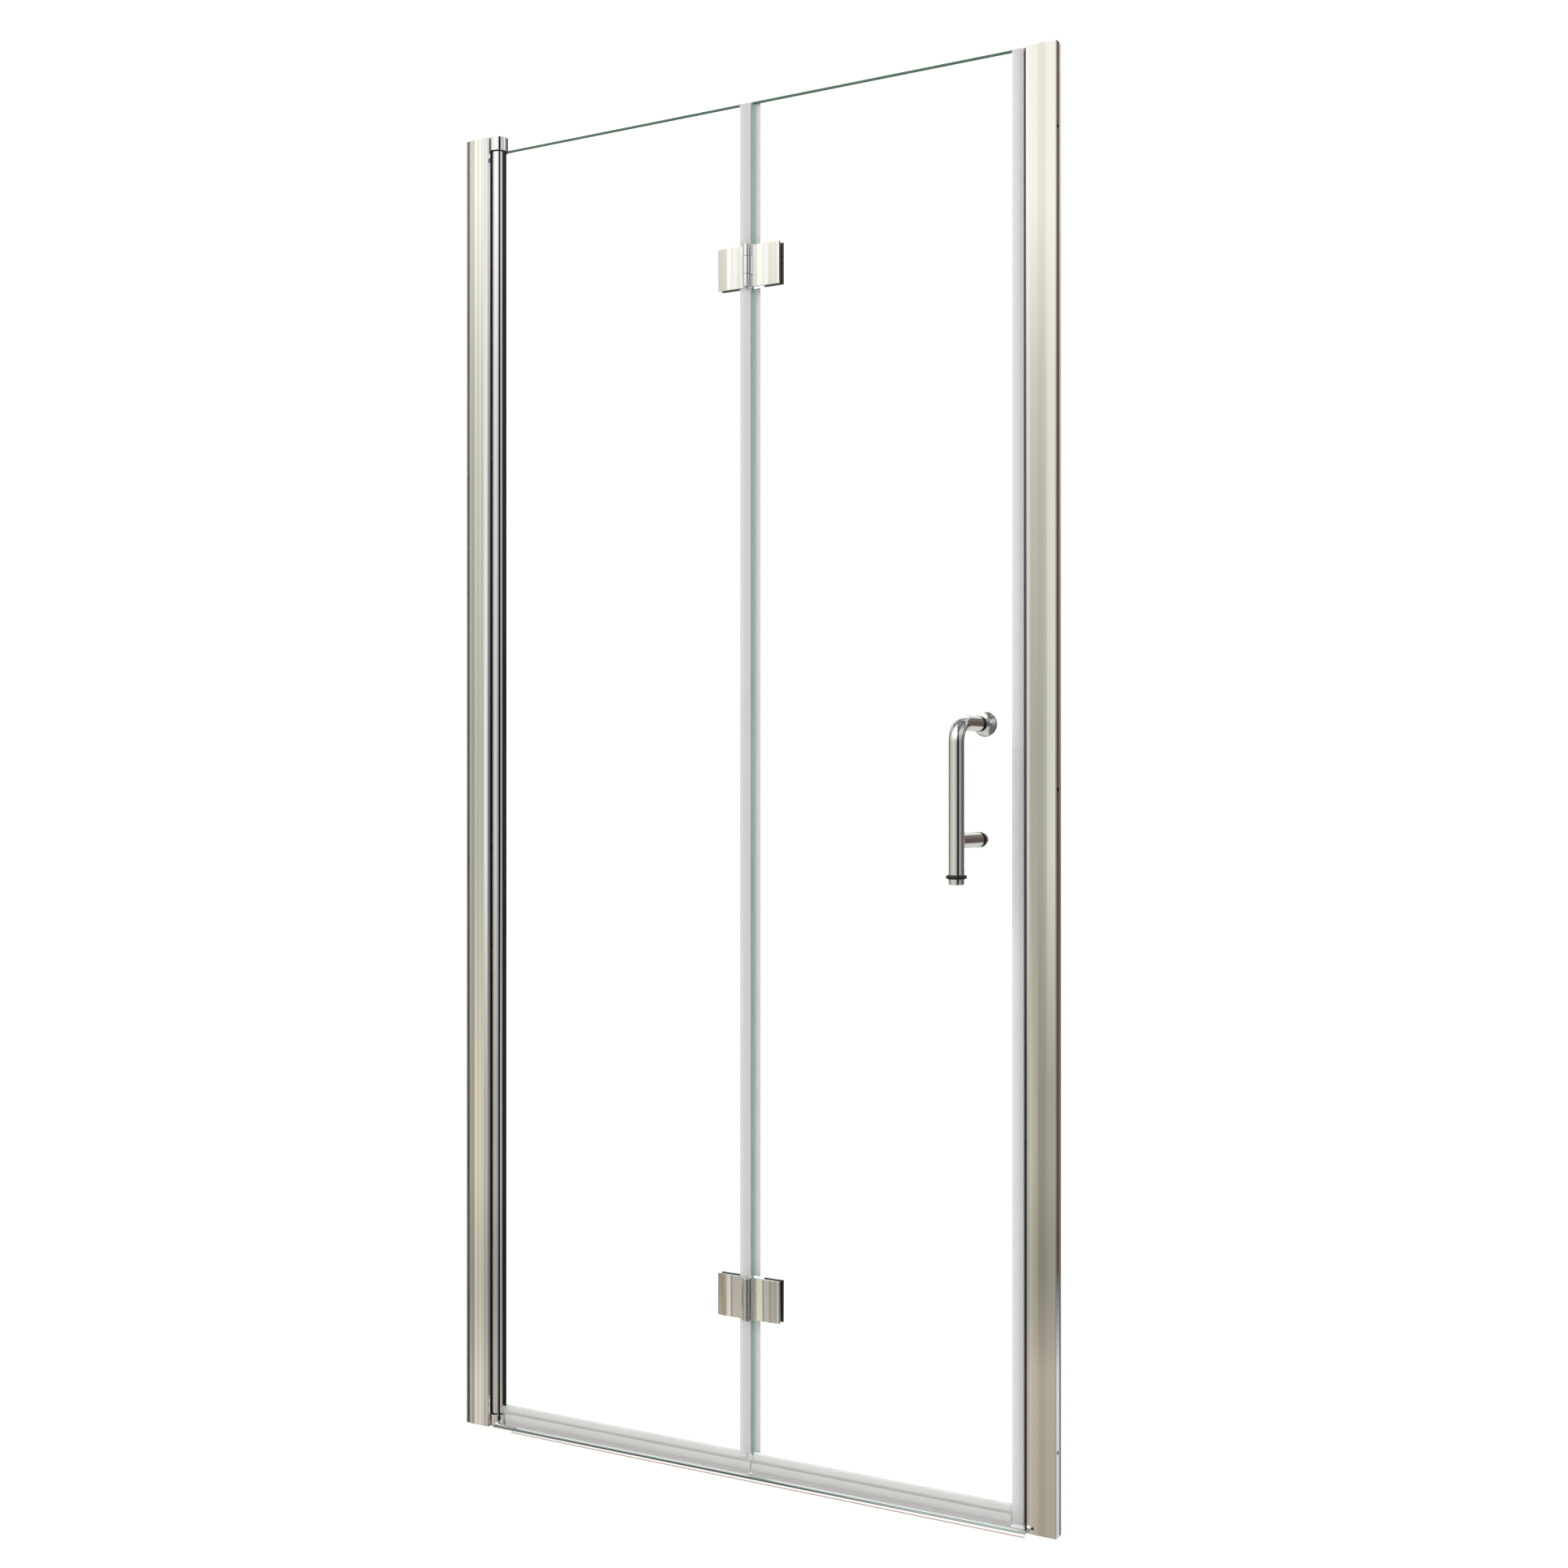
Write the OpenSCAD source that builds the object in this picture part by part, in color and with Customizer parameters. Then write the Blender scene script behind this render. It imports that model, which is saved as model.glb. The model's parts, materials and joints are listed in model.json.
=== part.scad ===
// Bifold shower door for an alcove: two glass leaves, a round pivot post on the
// left wall profile, two glass-to-glass hinges, a magnetic strike profile on the
// right wall, a low threshold bar and a bent pull handle.
// Frame: X = 0 is the left wall, Y = 0 is the middle plane of the glass with the
// outside of the shower towards -Y, Z = 0 is the floor. Millimetres.

/* [Opening] */
// Width between the two walls
door_w = 900; // [870:1:930]
// Height of the hinge side profile, the top cap stands 2 above it
door_h = 1850; // [1800:5:1900]
// Height of the glass top edge and of the strike side profile
glass_top = 1831; // [1781:1:1840]
// Height of the glass bottom edge above the floor
glass_bot = 18; // [17:0.5:19]
// Glass thickness
glass_t = 6; // [6:0.5:6.5]

/* [Pivot post] */
// Distance of the pivot axis from the left wall
post_x = 44; // [44:0.5:45]
// Outer diameter of the pivot post
post_d = 22.5; // [22:0.1:23]
// Diameter of the top and bottom pivot caps
cap_d = 28; // [27:0.5:28]
// Height of the top pivot cap, the bottom one is 3 lower
cap_h = 20; // [19:0.5:20]
// Diameter of the pivot pins
pivot_pin_d = 6; // [5:0.5:6]

/* [Hinge side profile] */
// Half depth of the hinge side profile, front to glass plane
jamb_half = 19; // [18.5:0.5:20]
// Right edge of the fluted front
jamb_w = 38.2; // [38:0.1:38.4]
// Wall thickness of the profiles
wall_t = 1.6; // [1.4:0.1:1.8]

/* [Strike side profile] */
// Width of the strike profile, wall to magnet strip
strike_w = 40.4; // [39:0.1:40.6]
// Half depth of the strike profile
strike_half = 9; // [9:0.25:9.5]

/* [Glass hinges] */
// Height of a hinge
hinge_h = 56; // [52:1:60]
// Half width of a hinge about its knuckle axis
hinge_half = 47.5; // [45:0.5:50]
// Diameter of the hinge barrel
barrel_d = 11; // [10.5:0.1:11]
// Diameter of the hinge pin
hinge_pin_d = 4; // [3.5:0.1:4.5]
// Height of the middle knuckle
mid_knuckle = 24; // [20:1:28]
// Distance of each hinge centre from the glass edge
hinge_inset = 219; // [150:1:300]

/* [Handle] */
// Tube diameter of the handle
bar_d = 19.5; // [19:0.1:20]
// Distance from the glass plane to the bar axis
bar_out = 68; // [62:1:70]
// Distance between the two posts
post_gap = 145; // [140:1:160]
// Height of the upper post
handle_z = 997.5; // [900:0.5:1100]
// Centreline bend radius of the bar
bend_r = 24; // [22:0.5:28]
// Distance of the bar axis from the right wall
handle_in = 106.5; // [100:0.5:115]
// Diameter of the inside knob
knob_d = 32; // [28:0.5:34]

/* [Threshold] */
// Depth of the threshold bar
sill_d = 20; // [19:0.5:20]
// Height of the threshold bar
sill_h = 6.5; // [6:0.1:6.8]
// Length of the threshold end cap
sill_cap = 35; // [30:1:40]

/* [Hidden] */
$fn = 64;
eps = 0.02;                         // hairline between pieces that touch
gt = glass_t / 2;
axis_x = 464 + (door_w - 900) / 2;  // knuckle axis of the glass hinges
axis_y = -11;
left_edge = axis_x - 5;             // free edge of the hinged glass
right_edge = axis_x + 3;            // hinge edge of the folding glass
strike_x = door_w - strike_w;       // left face of the strike profile
free_edge = strike_x - 9.6;         // free edge of the folding glass
zu = glass_top - hinge_inset;       // centre of the upper hinge
zl = glass_bot + hinge_inset;       // centre of the lower hinge
notch_u = 10.6;                     // reach of the sloped notch round the middle knuckle
post_r = post_d / 2;
arc_r = 15;                         // concave side of the hinge profile
top_cap_z = door_h + 2 - cap_h;
bot_cap_h = cap_h - 3;
hx = door_w - handle_in;            // handle axis
br = bar_d / 2;
zlo = handle_z - post_gap;
bar_low = zlo - 46.5;               // lower end of the bar tube
screw_z = [104.5, (glass_top) / 2, glass_top - 104.5];
jamb_screw_z = [104.5, 915.5, 1726.5];
sill_rear = -4.5;
sill_front = sill_rear - sill_d;
side_hole_y = -3.8;

// ---- small helpers -------------------------------------------------------
module box(a, b) { translate(a) cube(b - a); }
module rod_y(x, z, y0, y1, r) { translate([x, y0, z]) rotate([-90, 0, 0]) cylinder(h = y1 - y0, r = r); }
module rod_x(y, z, x0, x1, r) { translate([x0, y, z]) rotate([0, 90, 0]) cylinder(h = x1 - x0, r = r); }

// pan head screw along +Y, head outside at y0, hex socket in its head
module pan_screw(x, y0, z, d, len, hd, hh) {
  difference() {
    union() {
      rod_y(x, z, y0 - len, y0 + eps, d / 2);
      translate([x, y0, z]) rotate([-90, 0, 0]) cylinder(h = hh, r1 = hd / 2, r2 = hd / 2 - 0.7);
    }
    translate([x, y0 + hh - 1.3, z]) rotate([-90, 0, 0]) cylinder(h = 2, r = 1.5, $fn = 6);
  }
}

// ---- hinge side ------------------------------------------------------------
// fall of the front face over x: round left shoulder, a small step, two fine
// beads on a slight slope and a steeper slope; the right side runs back at a slant
function ramp(t) = min(1, max(0, t));
function flute(x) = let (q = 2.3 + (x - 2.3) * 1.05, e = max(0, q - 32.9))
  2.35 * pow(max(0, 1 - (q - 2.3) / 6.2), 2)
  + 0.33 - 0.075 * (1 - cos(180 * ramp((q - 8.6) / 7.4)))
  + 0.012 * max(0, q - 16)
  + 0.018 * (1 - cos(720 * ramp((q - 17) / 14.4)))
  + 0.037 * e + 0.0033 * e * e;

module jamb_outline() {
  n = 88;
  yr = -jamb_half + flute(jamb_w);
  polygon(concat(
    [for (i = [0 : n]) let (x = 2.3 + (jamb_w - 2.3) * i / n) [x, -jamb_half + flute(x)]],
    [[jamb_w + 0.28, yr + 0.09], [jamb_w + 0.47, yr + 0.25], [jamb_w + 0.6, yr + 0.52], [jamb_w + 1.6, yr + 4.25],
    [36, 0], [36, jamb_half - 1], [35, jamb_half], [2.3, jamb_half]]));
}

module hinge_side_profile() {
  color("gainsboro") difference() {
    linear_extrude(door_h) difference() {
      jamb_outline();
      translate([post_x, 0]) circle(r = arc_r, $fn = 96);
      difference() {
        polygon([[0, -jamb_half + 2.6], [34.2, -jamb_half + 2.6], [34.4, 0],
          [34.4, jamb_half - wall_t], [0, jamb_half - wall_t]]);
        translate([post_x, 0]) circle(r = arc_r + wall_t, $fn = 96);
      }
    }
    // windows for the lugs of the two pivot caps
    box([20, -6.3, top_cap_z - 0.3], [post_x, 6.3, door_h + 1]);
    box([20, -6.3, -1], [post_x, 6.3, bot_cap_h + 0.3]);
    // screw holes in the rear wall
    for (z = jamb_screw_z) rod_y(14, z, jamb_half - 4, jamb_half + 1, 2.2);
  }
}

module hinge_wall_channel() {
  leg = 22;
  color("silver") difference() {
    union() {
      box([0, -18.4, 0], [wall_t, 18.4, door_h]);
      box([wall_t - eps, -jamb_half + 2.9, 0], [leg, -jamb_half + 2.9 + 1.4, door_h]);
      box([wall_t - eps, jamb_half - wall_t - 0.2 - 1.4, 0], [leg, jamb_half - wall_t - 0.2, door_h]);
    }
    for (z = jamb_screw_z) {
      rod_x(0, z, -1, wall_t + 1, 2.5);
      rod_y(14, z, 10, jamb_half, 1.5);
    }
    // room for the cap lugs
    box([19.5, -6.6, top_cap_z - 0.6], [leg + 1, 6.6, door_h + 1]);
  }
}

module hinge_side_screws() {
  color("darkgray") for (z = jamb_screw_z) pan_screw(14, jamb_half, z, 2.98, 9, 7, 1.9);
}

// a pivot cap: a round collar with a lug that reaches into the profile
module pivot_cap(z0, h, pin_up) {
  color("whitesmoke") difference() {
    union() {
      translate([post_x, 0, z0]) rotate_extrude($fn = 96)
        polygon([[0, 0], [cap_d / 2 - 0.6, 0], [cap_d / 2, 0.6], [cap_d / 2, h - 0.6], [cap_d / 2 - 0.6, h], [0, h]]);
      box([22, -6, z0], [post_x - 8, 6, z0 + min(h, 18)]);
    }
    translate([post_x, 0, pin_up ? z0 + h - 12 : z0 - 1]) cylinder(h = 13, r = pivot_pin_d / 2 + 0.03);
    // fixing hole in the lug
    rod_x(0, z0 + 8.5, 21, 30, 2.1);
  }
}
module top_pivot_cap() { pivot_cap(top_cap_z, cap_h, false); }
module bottom_pivot_cap() { pivot_cap(0, bot_cap_h, true); }

module pivot_pins() {
  color("slategray") {
    translate([post_x, 0, glass_bot - 12]) cylinder(h = 31, r = pivot_pin_d / 2);
    translate([post_x, 0, glass_top - 19]) cylinder(h = 31, r = pivot_pin_d / 2);
  }
}

// ---- strike side -------------------------------------------------------------
module strike_profile() {
  x0 = strike_x; x1 = door_w - wall_t;
  n = 28;
  color("gainsboro") difference() {
    linear_extrude(glass_top) difference() {
      polygon(concat(
        [[x0, strike_half], [x0, -strike_half + 1.5], [x0 + 0.12, -strike_half + 1.1], [x0 + 0.4, -strike_half + 0.95], [x0 + 2.1, -strike_half + 1.65], [x0 + 4.9, -strike_half + 1.65], [x0 + 4.9, -strike_half + 0.45]],
        [for (i = [0 : n]) let (u = i / n) [x0 + 5.3 + (x1 - x0 - 5.5) * u, -strike_half + 0.25 - 0.25 * sin(180 * u)]],
        [[x1, -strike_half + 0.45], [x1, strike_half]]));
      // hollow open to the wall
      polygon([[x0 + wall_t, -strike_half + 3.2], [x0 + 5.4, -strike_half + 3.0], [x0 + 6.4, -strike_half + 2.1], [x1 + 1, -strike_half + 2.0],
        [x1 + 1, strike_half - wall_t], [x0 + wall_t, strike_half - wall_t]]);
      // seat of the magnet strip
      translate([x0 - 1, -5.5]) square([1.6, 11]);
    }
    // screw holes in the rear wall
    for (z = screw_z) rod_y(door_w - 14, z, strike_half - 3, strike_half + 1, 2.2);
  }
}

module strike_wall_channel() {
  color("silver") difference() {
    union() {
      box([door_w - wall_t + eps, -strike_half + 0.25, 0], [door_w, 1.3, glass_top]);
      box([door_w - wall_t + eps, 1.3 - eps, 0], [door_w - 0.4, strike_half - 0.3, glass_top]);
      box([door_w - 24, 0, 0], [door_w - wall_t + 2 * eps, 1.3, glass_top]);
      box([door_w - 24, 0, 0], [door_w - 22.7, strike_half - wall_t - 0.1, glass_top]);
      box([door_w - 24, strike_half - wall_t - 1.5, 0], [door_w - 6, strike_half - wall_t - 0.1, glass_top]);
    }
    for (z = screw_z) {
      rod_x(side_hole_y, z, door_w - 3, door_w + 1, 2.5);
      rod_y(door_w - 14, z, 4, strike_half, 1.5);
    }
  }
}

module strike_magnet_strip() {
  color([0.12, 0.11, 0.11]) box([strike_x - 2, -5.4, 3], [strike_x + 0.58, 5.4, glass_top - 1]);
}

module strike_side_screws() {
  color("darkgray") for (z = screw_z) pan_screw(door_w - 14, strike_half, z, 2.98, 3.6, 7, 1.9);
}

// ---- threshold ---------------------------------------------------------------
// outline of the bar over depth: steep front, crest in the middle, gentle rear
function sill_z(t, h) = h * pow(sin(180 * pow(t, 0.92)), 0.62);
module sill_outline(grow, h) {
  n = 30;
  polygon([for (i = [0 : n]) let (t = i / n, y = sill_front - grow + (sill_d + 2 * grow) * t) [y, sill_z(t, h)]]);
}
module along_x(x0, x1) { translate([x0, 0, 0]) rotate([90, 0, 90]) linear_extrude(x1 - x0) children(); }

module threshold_bar() {
  color([0.93, 0.94, 0.94]) difference() {
    along_x(post_x + 6.5 + sill_cap + 0.6, strike_x + 4.9) difference() {
      sill_outline(0, sill_h);
      translate([0, -0.01]) sill_outline(-1.7, sill_h - 1.7);
    }
    // corner cut away round the strike profile
    box([strike_x - 0.15, -strike_half + 0.85, -1], [strike_x + 6, 0, sill_h + 1]);
  }
}

module threshold_end_cap() {
  color([0.95, 0.95, 0.95]) difference() {
    union() {
      along_x(post_x + 6.5, post_x + 6.5 + sill_cap) sill_outline(0.25, sill_h + 0.2);
      along_x(post_x + sill_cap + 6.4, post_x + sill_cap + 17) sill_outline(-1.95, sill_h - 1.95);
    }
    translate([post_x, 0, -1]) cylinder(h = 12, r = cap_d / 2 + 0.15, $fn = 96);
  }
}

// ---- hinged leaf -------------------------------------------------------------
module pivot_post() {
  color("gainsboro") translate([0, 0, glass_bot + 0.5]) difference() {
    translate([post_x, 0, 0]) cylinder(h = glass_top - glass_bot - 0.5, r = post_r, $fn = 96);
    translate([post_x, 0, -1]) cylinder(h = glass_top, r = 5.5);
    box([post_x + 6.4, -4.4, -1], [post_x + 20, 4.4, glass_top]);
  }
}

module pivot_bushes() {
  color("white") for (z = [glass_bot + 0.5, glass_top - 24]) translate([post_x, 0, z]) difference() {
    cylinder(h = 24, r = 5.47);
    translate([0, 0, -1]) cylinder(h = 26, r = pivot_pin_d / 2 + 0.05);
  }
}

module post_gasket() {
  color([0.06, 0.06, 0.06]) translate([post_x, 0, 29.6]) linear_extrude(glass_top - 30.1) {
    polygon([[6.6, -gt - eps], [15.9, -gt - eps], [16.1, -gt - 0.6], [15.2, -4.35], [6.6, -4.35]]);
    polygon([[6.6, gt + eps], [10.3, gt + eps], [10.4, gt + 0.7], [10, 4.35], [6.6, 4.35]]);
  }
}

module glass_panel(x0, x1) {
  c = 0.5;
  translate([0, 0, glass_bot]) linear_extrude(glass_top - glass_bot)
    polygon([[x0, -gt + c], [x0 + c, -gt], [x1 - c, -gt], [x1, -gt + c], [x1, gt - c], [x1 - c, gt], [x0 + c, gt], [x0, gt - c]]);
}

module hinged_glass() {
  color([0.75, 0.9, 0.85, 0.35]) difference() {
    glass_panel(post_x + 7, left_edge);
    for (z = [zu, zl], k = [-14, 14]) rod_y(axis_x - 33, z + k, -gt - 1, gt + 1, 5);
  }
}

module centre_seal() {
  z0 = [29.6, zl + hinge_h / 2 + 1, zu + hinge_h / 2 + 1];
  z1 = [zl - hinge_h / 2 - 1, zu - hinge_h / 2 - 1, glass_top];
  color([0.85, 0.86, 0.86, 0.8]) for (i = [0 : 2]) translate([0, 0, z0[i]]) linear_extrude(z1[i] - z0[i]) {
    // clip round the edge of the glass with a hollow nose
    difference() {
      polygon([[left_edge - 9.6, -4.1], [left_edge - 9, -4.6], [left_edge + 6.6, -4.6], [left_edge + 7.2, -4.0],
        [left_edge + 7.2, 4.0], [left_edge + 6.6, 4.6], [left_edge - 9, 4.6], [left_edge - 9.6, 4.1], [left_edge - 9.6, gt + eps], [left_edge + eps, gt + eps],
        [left_edge + eps, -gt - eps], [left_edge - 9.6, -gt - eps]]);
      translate([left_edge + 1.4, -3.2]) square([4.4, 6.4]);
    }
    // flap that closes the joint from inside
    polygon([[left_edge + 5, 4.5], [left_edge + 7.2, 3.7], [left_edge + 17.6, 3.5], [left_edge + 17.8, 4.3], [left_edge + 8, 5.0]]);
  }
}

module sweep_clip(x0, x1) {
  color([0.86, 0.87, 0.87, 0.8]) along_x(x0, x1) polygon([[-5.2, 8.2], [5.2, 8.2], [5.2, 24.4], [4.9, 24.8], [5.2, 25.2], [5.2, 27.8], [4.5, 28.6],
    [gt + eps, 28.6], [gt + eps, glass_bot - eps], [-gt - eps, glass_bot - eps], [-gt - eps, 28.6], [-4.5, 28.6], [-5.2, 27.8],
    [-5.2, 25.2], [-4.9, 24.8], [-5.2, 24.4]]);
}
module sweep_fin(x0, x1) {
  color([0.85, 0.86, 0.86, 0.8]) along_x(x0, x1) {
    polygon([[-5.15, 8.15], [-4.35, 8.15], [-4.65, 2], [-5.05, 2]]);
    polygon([[4.35, 8.15], [5.15, 8.15], [5.05, 1], [4.65, 1]]);
  }
}
module hinged_sweep_clip() {
  difference() {
    sweep_clip(post_x + 11.1, left_edge + 6.5);
    translate([post_x, 0, -1]) cylinder(h = glass_bot + 1, r = cap_d / 2 + 2.2, $fn = 96);
  }
}
module hinged_sweep_fin() { sweep_fin(post_x + 16, left_edge + 6.5); }

// ---- glass hinges ------------------------------------------------------------
// front surface of a plate over the distance u from the knuckle axis
function plate_y(u) = -6.55 - 0.75 * pow(sin(180 * (u - 5) / (hinge_half - 5)), 2) - 0.0025 * (u - 12);
module plate_outline() {
  n = 26;
  polygon(concat([[0.5, -gt - 0.85], [0.5, -5.9], [2, -7.2], [4.8, -8.7], [6.4, -8.15], [6.9, -6.6]],
    [for (i = [0 : n]) let (u = 9 + (hinge_half - 0.5 - 9) * i / n) [u, plate_y(u)]],
    [[hinge_half, -6.2], [hinge_half, -gt - 0.85]]));
}
// side = -1 carries the two outer knuckles, side = 1 the middle one
module front_plate(zc, side) {
  hz = hinge_h / 2; kz = mid_knuckle / 2;
  own = side < 0 ? [[-hz, -kz - 0.15], [kz + 0.15, hz]] : [[-kz + 0.15, kz - 0.15]];
  other = side < 0 ? [[-kz - 0.15, kz + 0.15]] : [[-hz - 1, -kz + 0.15], [kz - 0.15, hz + 1]];
  color("gainsboro") translate([axis_x, 0, zc]) difference() {
    union() {
      difference() {
        translate([0, 0, -hz]) scale([side, 1, 1]) linear_extrude(hinge_h) plate_outline();
        // room for the knuckles of the other plate
        if (side < 0) translate([0, 0, -kz - 2.5]) linear_extrude(2 * kz + 5)
          polygon([[-notch_u, -12], [1, -12], [1, -3], [-5.5, -3], [-5.6, -4.6], [-notch_u, -6.75]]);
        else for (k = [-1, 1]) translate([0, 0, k * (hz + kz) / 2]) box([0, -12, -(hz - kz) / 2 - 0.15], [7.3, -6.9, (hz - kz) / 2 + 0.15]);
      }
      for (k = own) translate([0, axis_y, k[0]]) cylinder(h = k[1] - k[0], r = barrel_d / 2, $fn = 72);
    }
    for (k = other) translate([0, axis_y, k[0]]) cylinder(h = k[1] - k[0], r = barrel_d / 2 + 0.4, $fn = 72);
    translate([0, axis_y, -hz - 1]) cylinder(h = hinge_h + 2, r = hinge_pin_d / 2 + (side < 0 ? eps : 0.05));
    // tapped holes for the clamp screws, from behind
    for (k = [-14, 14]) rod_y(side * 33, k, -5.8, 0, 2.5);
  }
}
module upper_hinge_left_plate() { front_plate(zu, -1); }
module lower_hinge_left_plate() { front_plate(zl, -1); }
module upper_hinge_right_plate() { front_plate(zu, 1); }
module lower_hinge_right_plate() { front_plate(zl, 1); }

module back_plates(side) {
  hz = hinge_h / 2;
  color("gainsboro") for (zc = [zu, zl]) translate([axis_x, 0, zc]) difference() {
    translate([0, 0, -hz]) scale([side, 1, 1]) linear_extrude(hinge_h)
      polygon([[18.5, gt + 0.85], [hinge_half, gt + 0.85], [hinge_half, gt + 3.2], [hinge_half - 0.8, gt + 4], [19.3, gt + 4], [18.5, gt + 3.2]]);
    for (k = [-14, 14]) {
      rod_y(side * 33, k, gt, gt + 6, 2.6);
      rod_y(side * 33, k, gt + 1.9, gt + 6, 4.8);
    }
  }
}
module left_back_plates() { back_plates(-1); }
module right_back_plates() { back_plates(1); }

// rubber under both plates, with sleeves through the glass
module hinge_gaskets(side) {
  hz = hinge_h / 2 - 0.6;
  gx = side < 0 ? 6.5 : 5.5;
  color([0.05, 0.05, 0.05]) for (zc = [zu, zl]) translate([axis_x, 0, zc]) difference() {
    union() {
      translate([0, 0, -hz]) scale([side, 1, 1]) linear_extrude(2 * hz) {
        polygon([[gx, -gt - 0.83], [hinge_half - 0.6, -gt - 0.83], [hinge_half - 0.6, -gt - eps], [gx, -gt - eps]]);
        polygon([[18.9, gt + eps], [hinge_half - 0.6, gt + eps], [hinge_half - 0.6, gt + 0.83], [18.9, gt + 0.83]]);
      }
      for (k = [-14, 14]) rod_y(side * 33, k, -gt - 0.5, gt + 0.5, 4.95);
    }
    for (k = [-14, 14]) rod_y(side * 33, k, -gt - 2, gt + 2, 2.6);
  }
}
module left_hinge_gaskets() { hinge_gaskets(-1); }
module right_hinge_gaskets() { hinge_gaskets(1); }

module hinge_screws(side) {
  color("darkgray") for (zc = [zu, zl], k = [-14, 14]) difference() {
    union() {
      rod_y(axis_x + side * 33, zc + k, -5.6, gt + 2, 2.45);
      rod_y(axis_x + side * 33, zc + k, gt + 1.95, gt + 3.7, 4.6);
    }
    translate([axis_x + side * 33, gt + 2.4, zc + k]) rotate([-90, 0, 0]) cylinder(h = 3, r = 2.3, $fn = 6);
  }
}
module left_hinge_screws() { hinge_screws(-1); }
module right_hinge_screws() { hinge_screws(1); }

module hinge_pins() {
  color("slategray") for (zc = [zu, zl]) translate([axis_x, axis_y, zc - hinge_h / 2 + 0.4])
    cylinder(h = hinge_h - 0.8, r = hinge_pin_d / 2);
}

// ---- folding leaf ------------------------------------------------------------
module folding_glass() {
  color([0.75, 0.9, 0.85, 0.35]) difference() {
    glass_panel(right_edge, free_edge);
    for (z = [zu, zl], k = [-14, 14]) rod_y(axis_x + 33, z + k, -gt - 1, gt + 1, 5);
    for (z = [handle_z, zlo]) rod_y(hx, z, -gt - 1, gt + 1, 5);
  }
}

module magnetic_seal() {
  e = free_edge;
  color([0.87, 0.88, 0.88, 0.8]) translate([0, 0, 7.2]) linear_extrude(glass_top - 7.2) difference() {
    polygon([[e - 10.2, -4.4], [e - 9.6, -5], [e + 5.6, -5], [e + 6.2, -4.4], [e + 6.2, 4.4], [e + 5.6, 5], [e - 9.6, 5], [e - 10.2, 4.4],
      [e - 10.2, gt + eps], [e + eps, gt + eps], [e + eps, -gt - eps], [e - 10.2, -gt - eps]]);
    translate([e + 1.6, -3.9]) square([3.6, 7.8]);
  }
}
module seal_magnet() {
  e = free_edge;
  color([0.2, 0.19, 0.19]) box([e + 1.7, -3.8, 9], [e + 5.1, 3.8, glass_top - 2]);
}
// soft block that closes the lower end of the seal down to the threshold
module seal_foot() {
  e = free_edge;
  color("white") translate([0, 0, 2]) linear_extrude(5.2) difference() {
    translate([e - 9.7, -5]) square([15.9, 10]);
    translate([e - 10, -1.5]) square([4, 3]);
  }
}
module folding_sweep_clip() { sweep_clip(right_edge + 0.4, free_edge - 10.6); }
module folding_sweep_fin() { sweep_fin(right_edge + 0.4, free_edge - 24); }

// ---- handle ------------------------------------------------------------------
module tube_path(r) {
  yc = -bar_out;
  translate([hx, yc, bar_low]) cylinder(h = handle_z - bend_r - bar_low + 0.01, r = r, $fn = 72);
  translate([hx, yc + bend_r, handle_z - bend_r]) rotate([0, 0, -90]) rotate([90, 0, 0])
    rotate_extrude(angle = 90, $fn = 72) translate([bend_r, 0]) circle(r = r, $fn = 72);
  rod_y(hx, handle_z, yc + bend_r - 0.01, -gt - 2.1, r);
}
module handle_bar() {
  color("silver") difference() {
    tube_path(br);
    // open bore in the straight part
    translate([hx, -bar_out, bar_low - 1]) cylinder(h = handle_z - bend_r - bar_low - 4, r = br - 1.5, $fn = 72);
    rod_y(hx, handle_z, -22, 0, 3.05);
    // pin hole for the lower post
    rod_y(hx, zlo, -bar_out, -bar_out + br + 2, 2.05);
  }
}
module handle_lower_post() {
  color("silver") difference() {
    union() {
      rod_y(hx, zlo, -bar_out, -gt - 2.1, br - 0.05);
      rod_y(hx, zlo, -bar_out + br - 4, -bar_out + br + 2, 2);
    }
    difference() {
      translate([hx, -bar_out, zlo - br - 1]) cylinder(h = 2 * br + 2, r = br + eps, $fn = 72);
      rod_y(hx, zlo, -bar_out + br - 3.5, -bar_out + br + 2, 2);
    }
    rod_y(hx, zlo, -22, 0, 3.05);
  }
}
module handle_tip_plug() {
  color("silver") translate([hx, -bar_out, bar_low]) rotate_extrude($fn = 72)
    polygon([[0, -7], [br - 0.9, -7], [br - 0.1, -6.2], [br - 0.1, -eps], [br - 1.52, -eps], [br - 1.52, 9], [0, 9]]);
}
// rubber ring that keeps the folded leaf off the other glass
module handle_ring() {
  color([0.09, 0.07, 0.06]) translate([hx, -bar_out, bar_low + 2.6]) rotate_extrude($fn = 72) difference() {
    translate([br + 0.6, 0]) circle(r = 2.75, $fn = 48);
    translate([0, -4]) square([br + eps, 8]);
  }
}
module handle_washers() {
  color([0.06, 0.06, 0.06]) {
    for (z = [handle_z, zlo]) difference() { rod_y(hx, z, -gt - 2.08, -gt - eps, br + 0.2); rod_y(hx, z, -gt - 4, 0, 3.2); }
    for (z = [handle_z, zlo]) difference() { rod_y(hx, z, gt + eps, gt + 1.2, 9); rod_y(hx, z, 0, gt + 4, 3.2); }
  }
}
module handle_studs() {
  color("darkgray") for (z = [handle_z, zlo]) rod_y(hx, z, -20, gt + 3.4, 3);
}
module rear_knob() {
  color("silver") translate([hx, gt + 1.22, handle_z]) rotate([-90, 0, 0]) difference() {
    rotate_extrude($fn = 96) polygon(concat([[0, 0], [9.6, 0], [10, 0.5], [10, 3]],
      [for (i = [1 : 12]) [10 + 6 * pow(i / 12, 1.9), 3 + 13 * i / 12]],
      [[16, 17.2], [15.2, 18], [0, 18]]));
    translate([0, 0, -1]) cylinder(h = 8, r = 3.05);
  }
}
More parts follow.
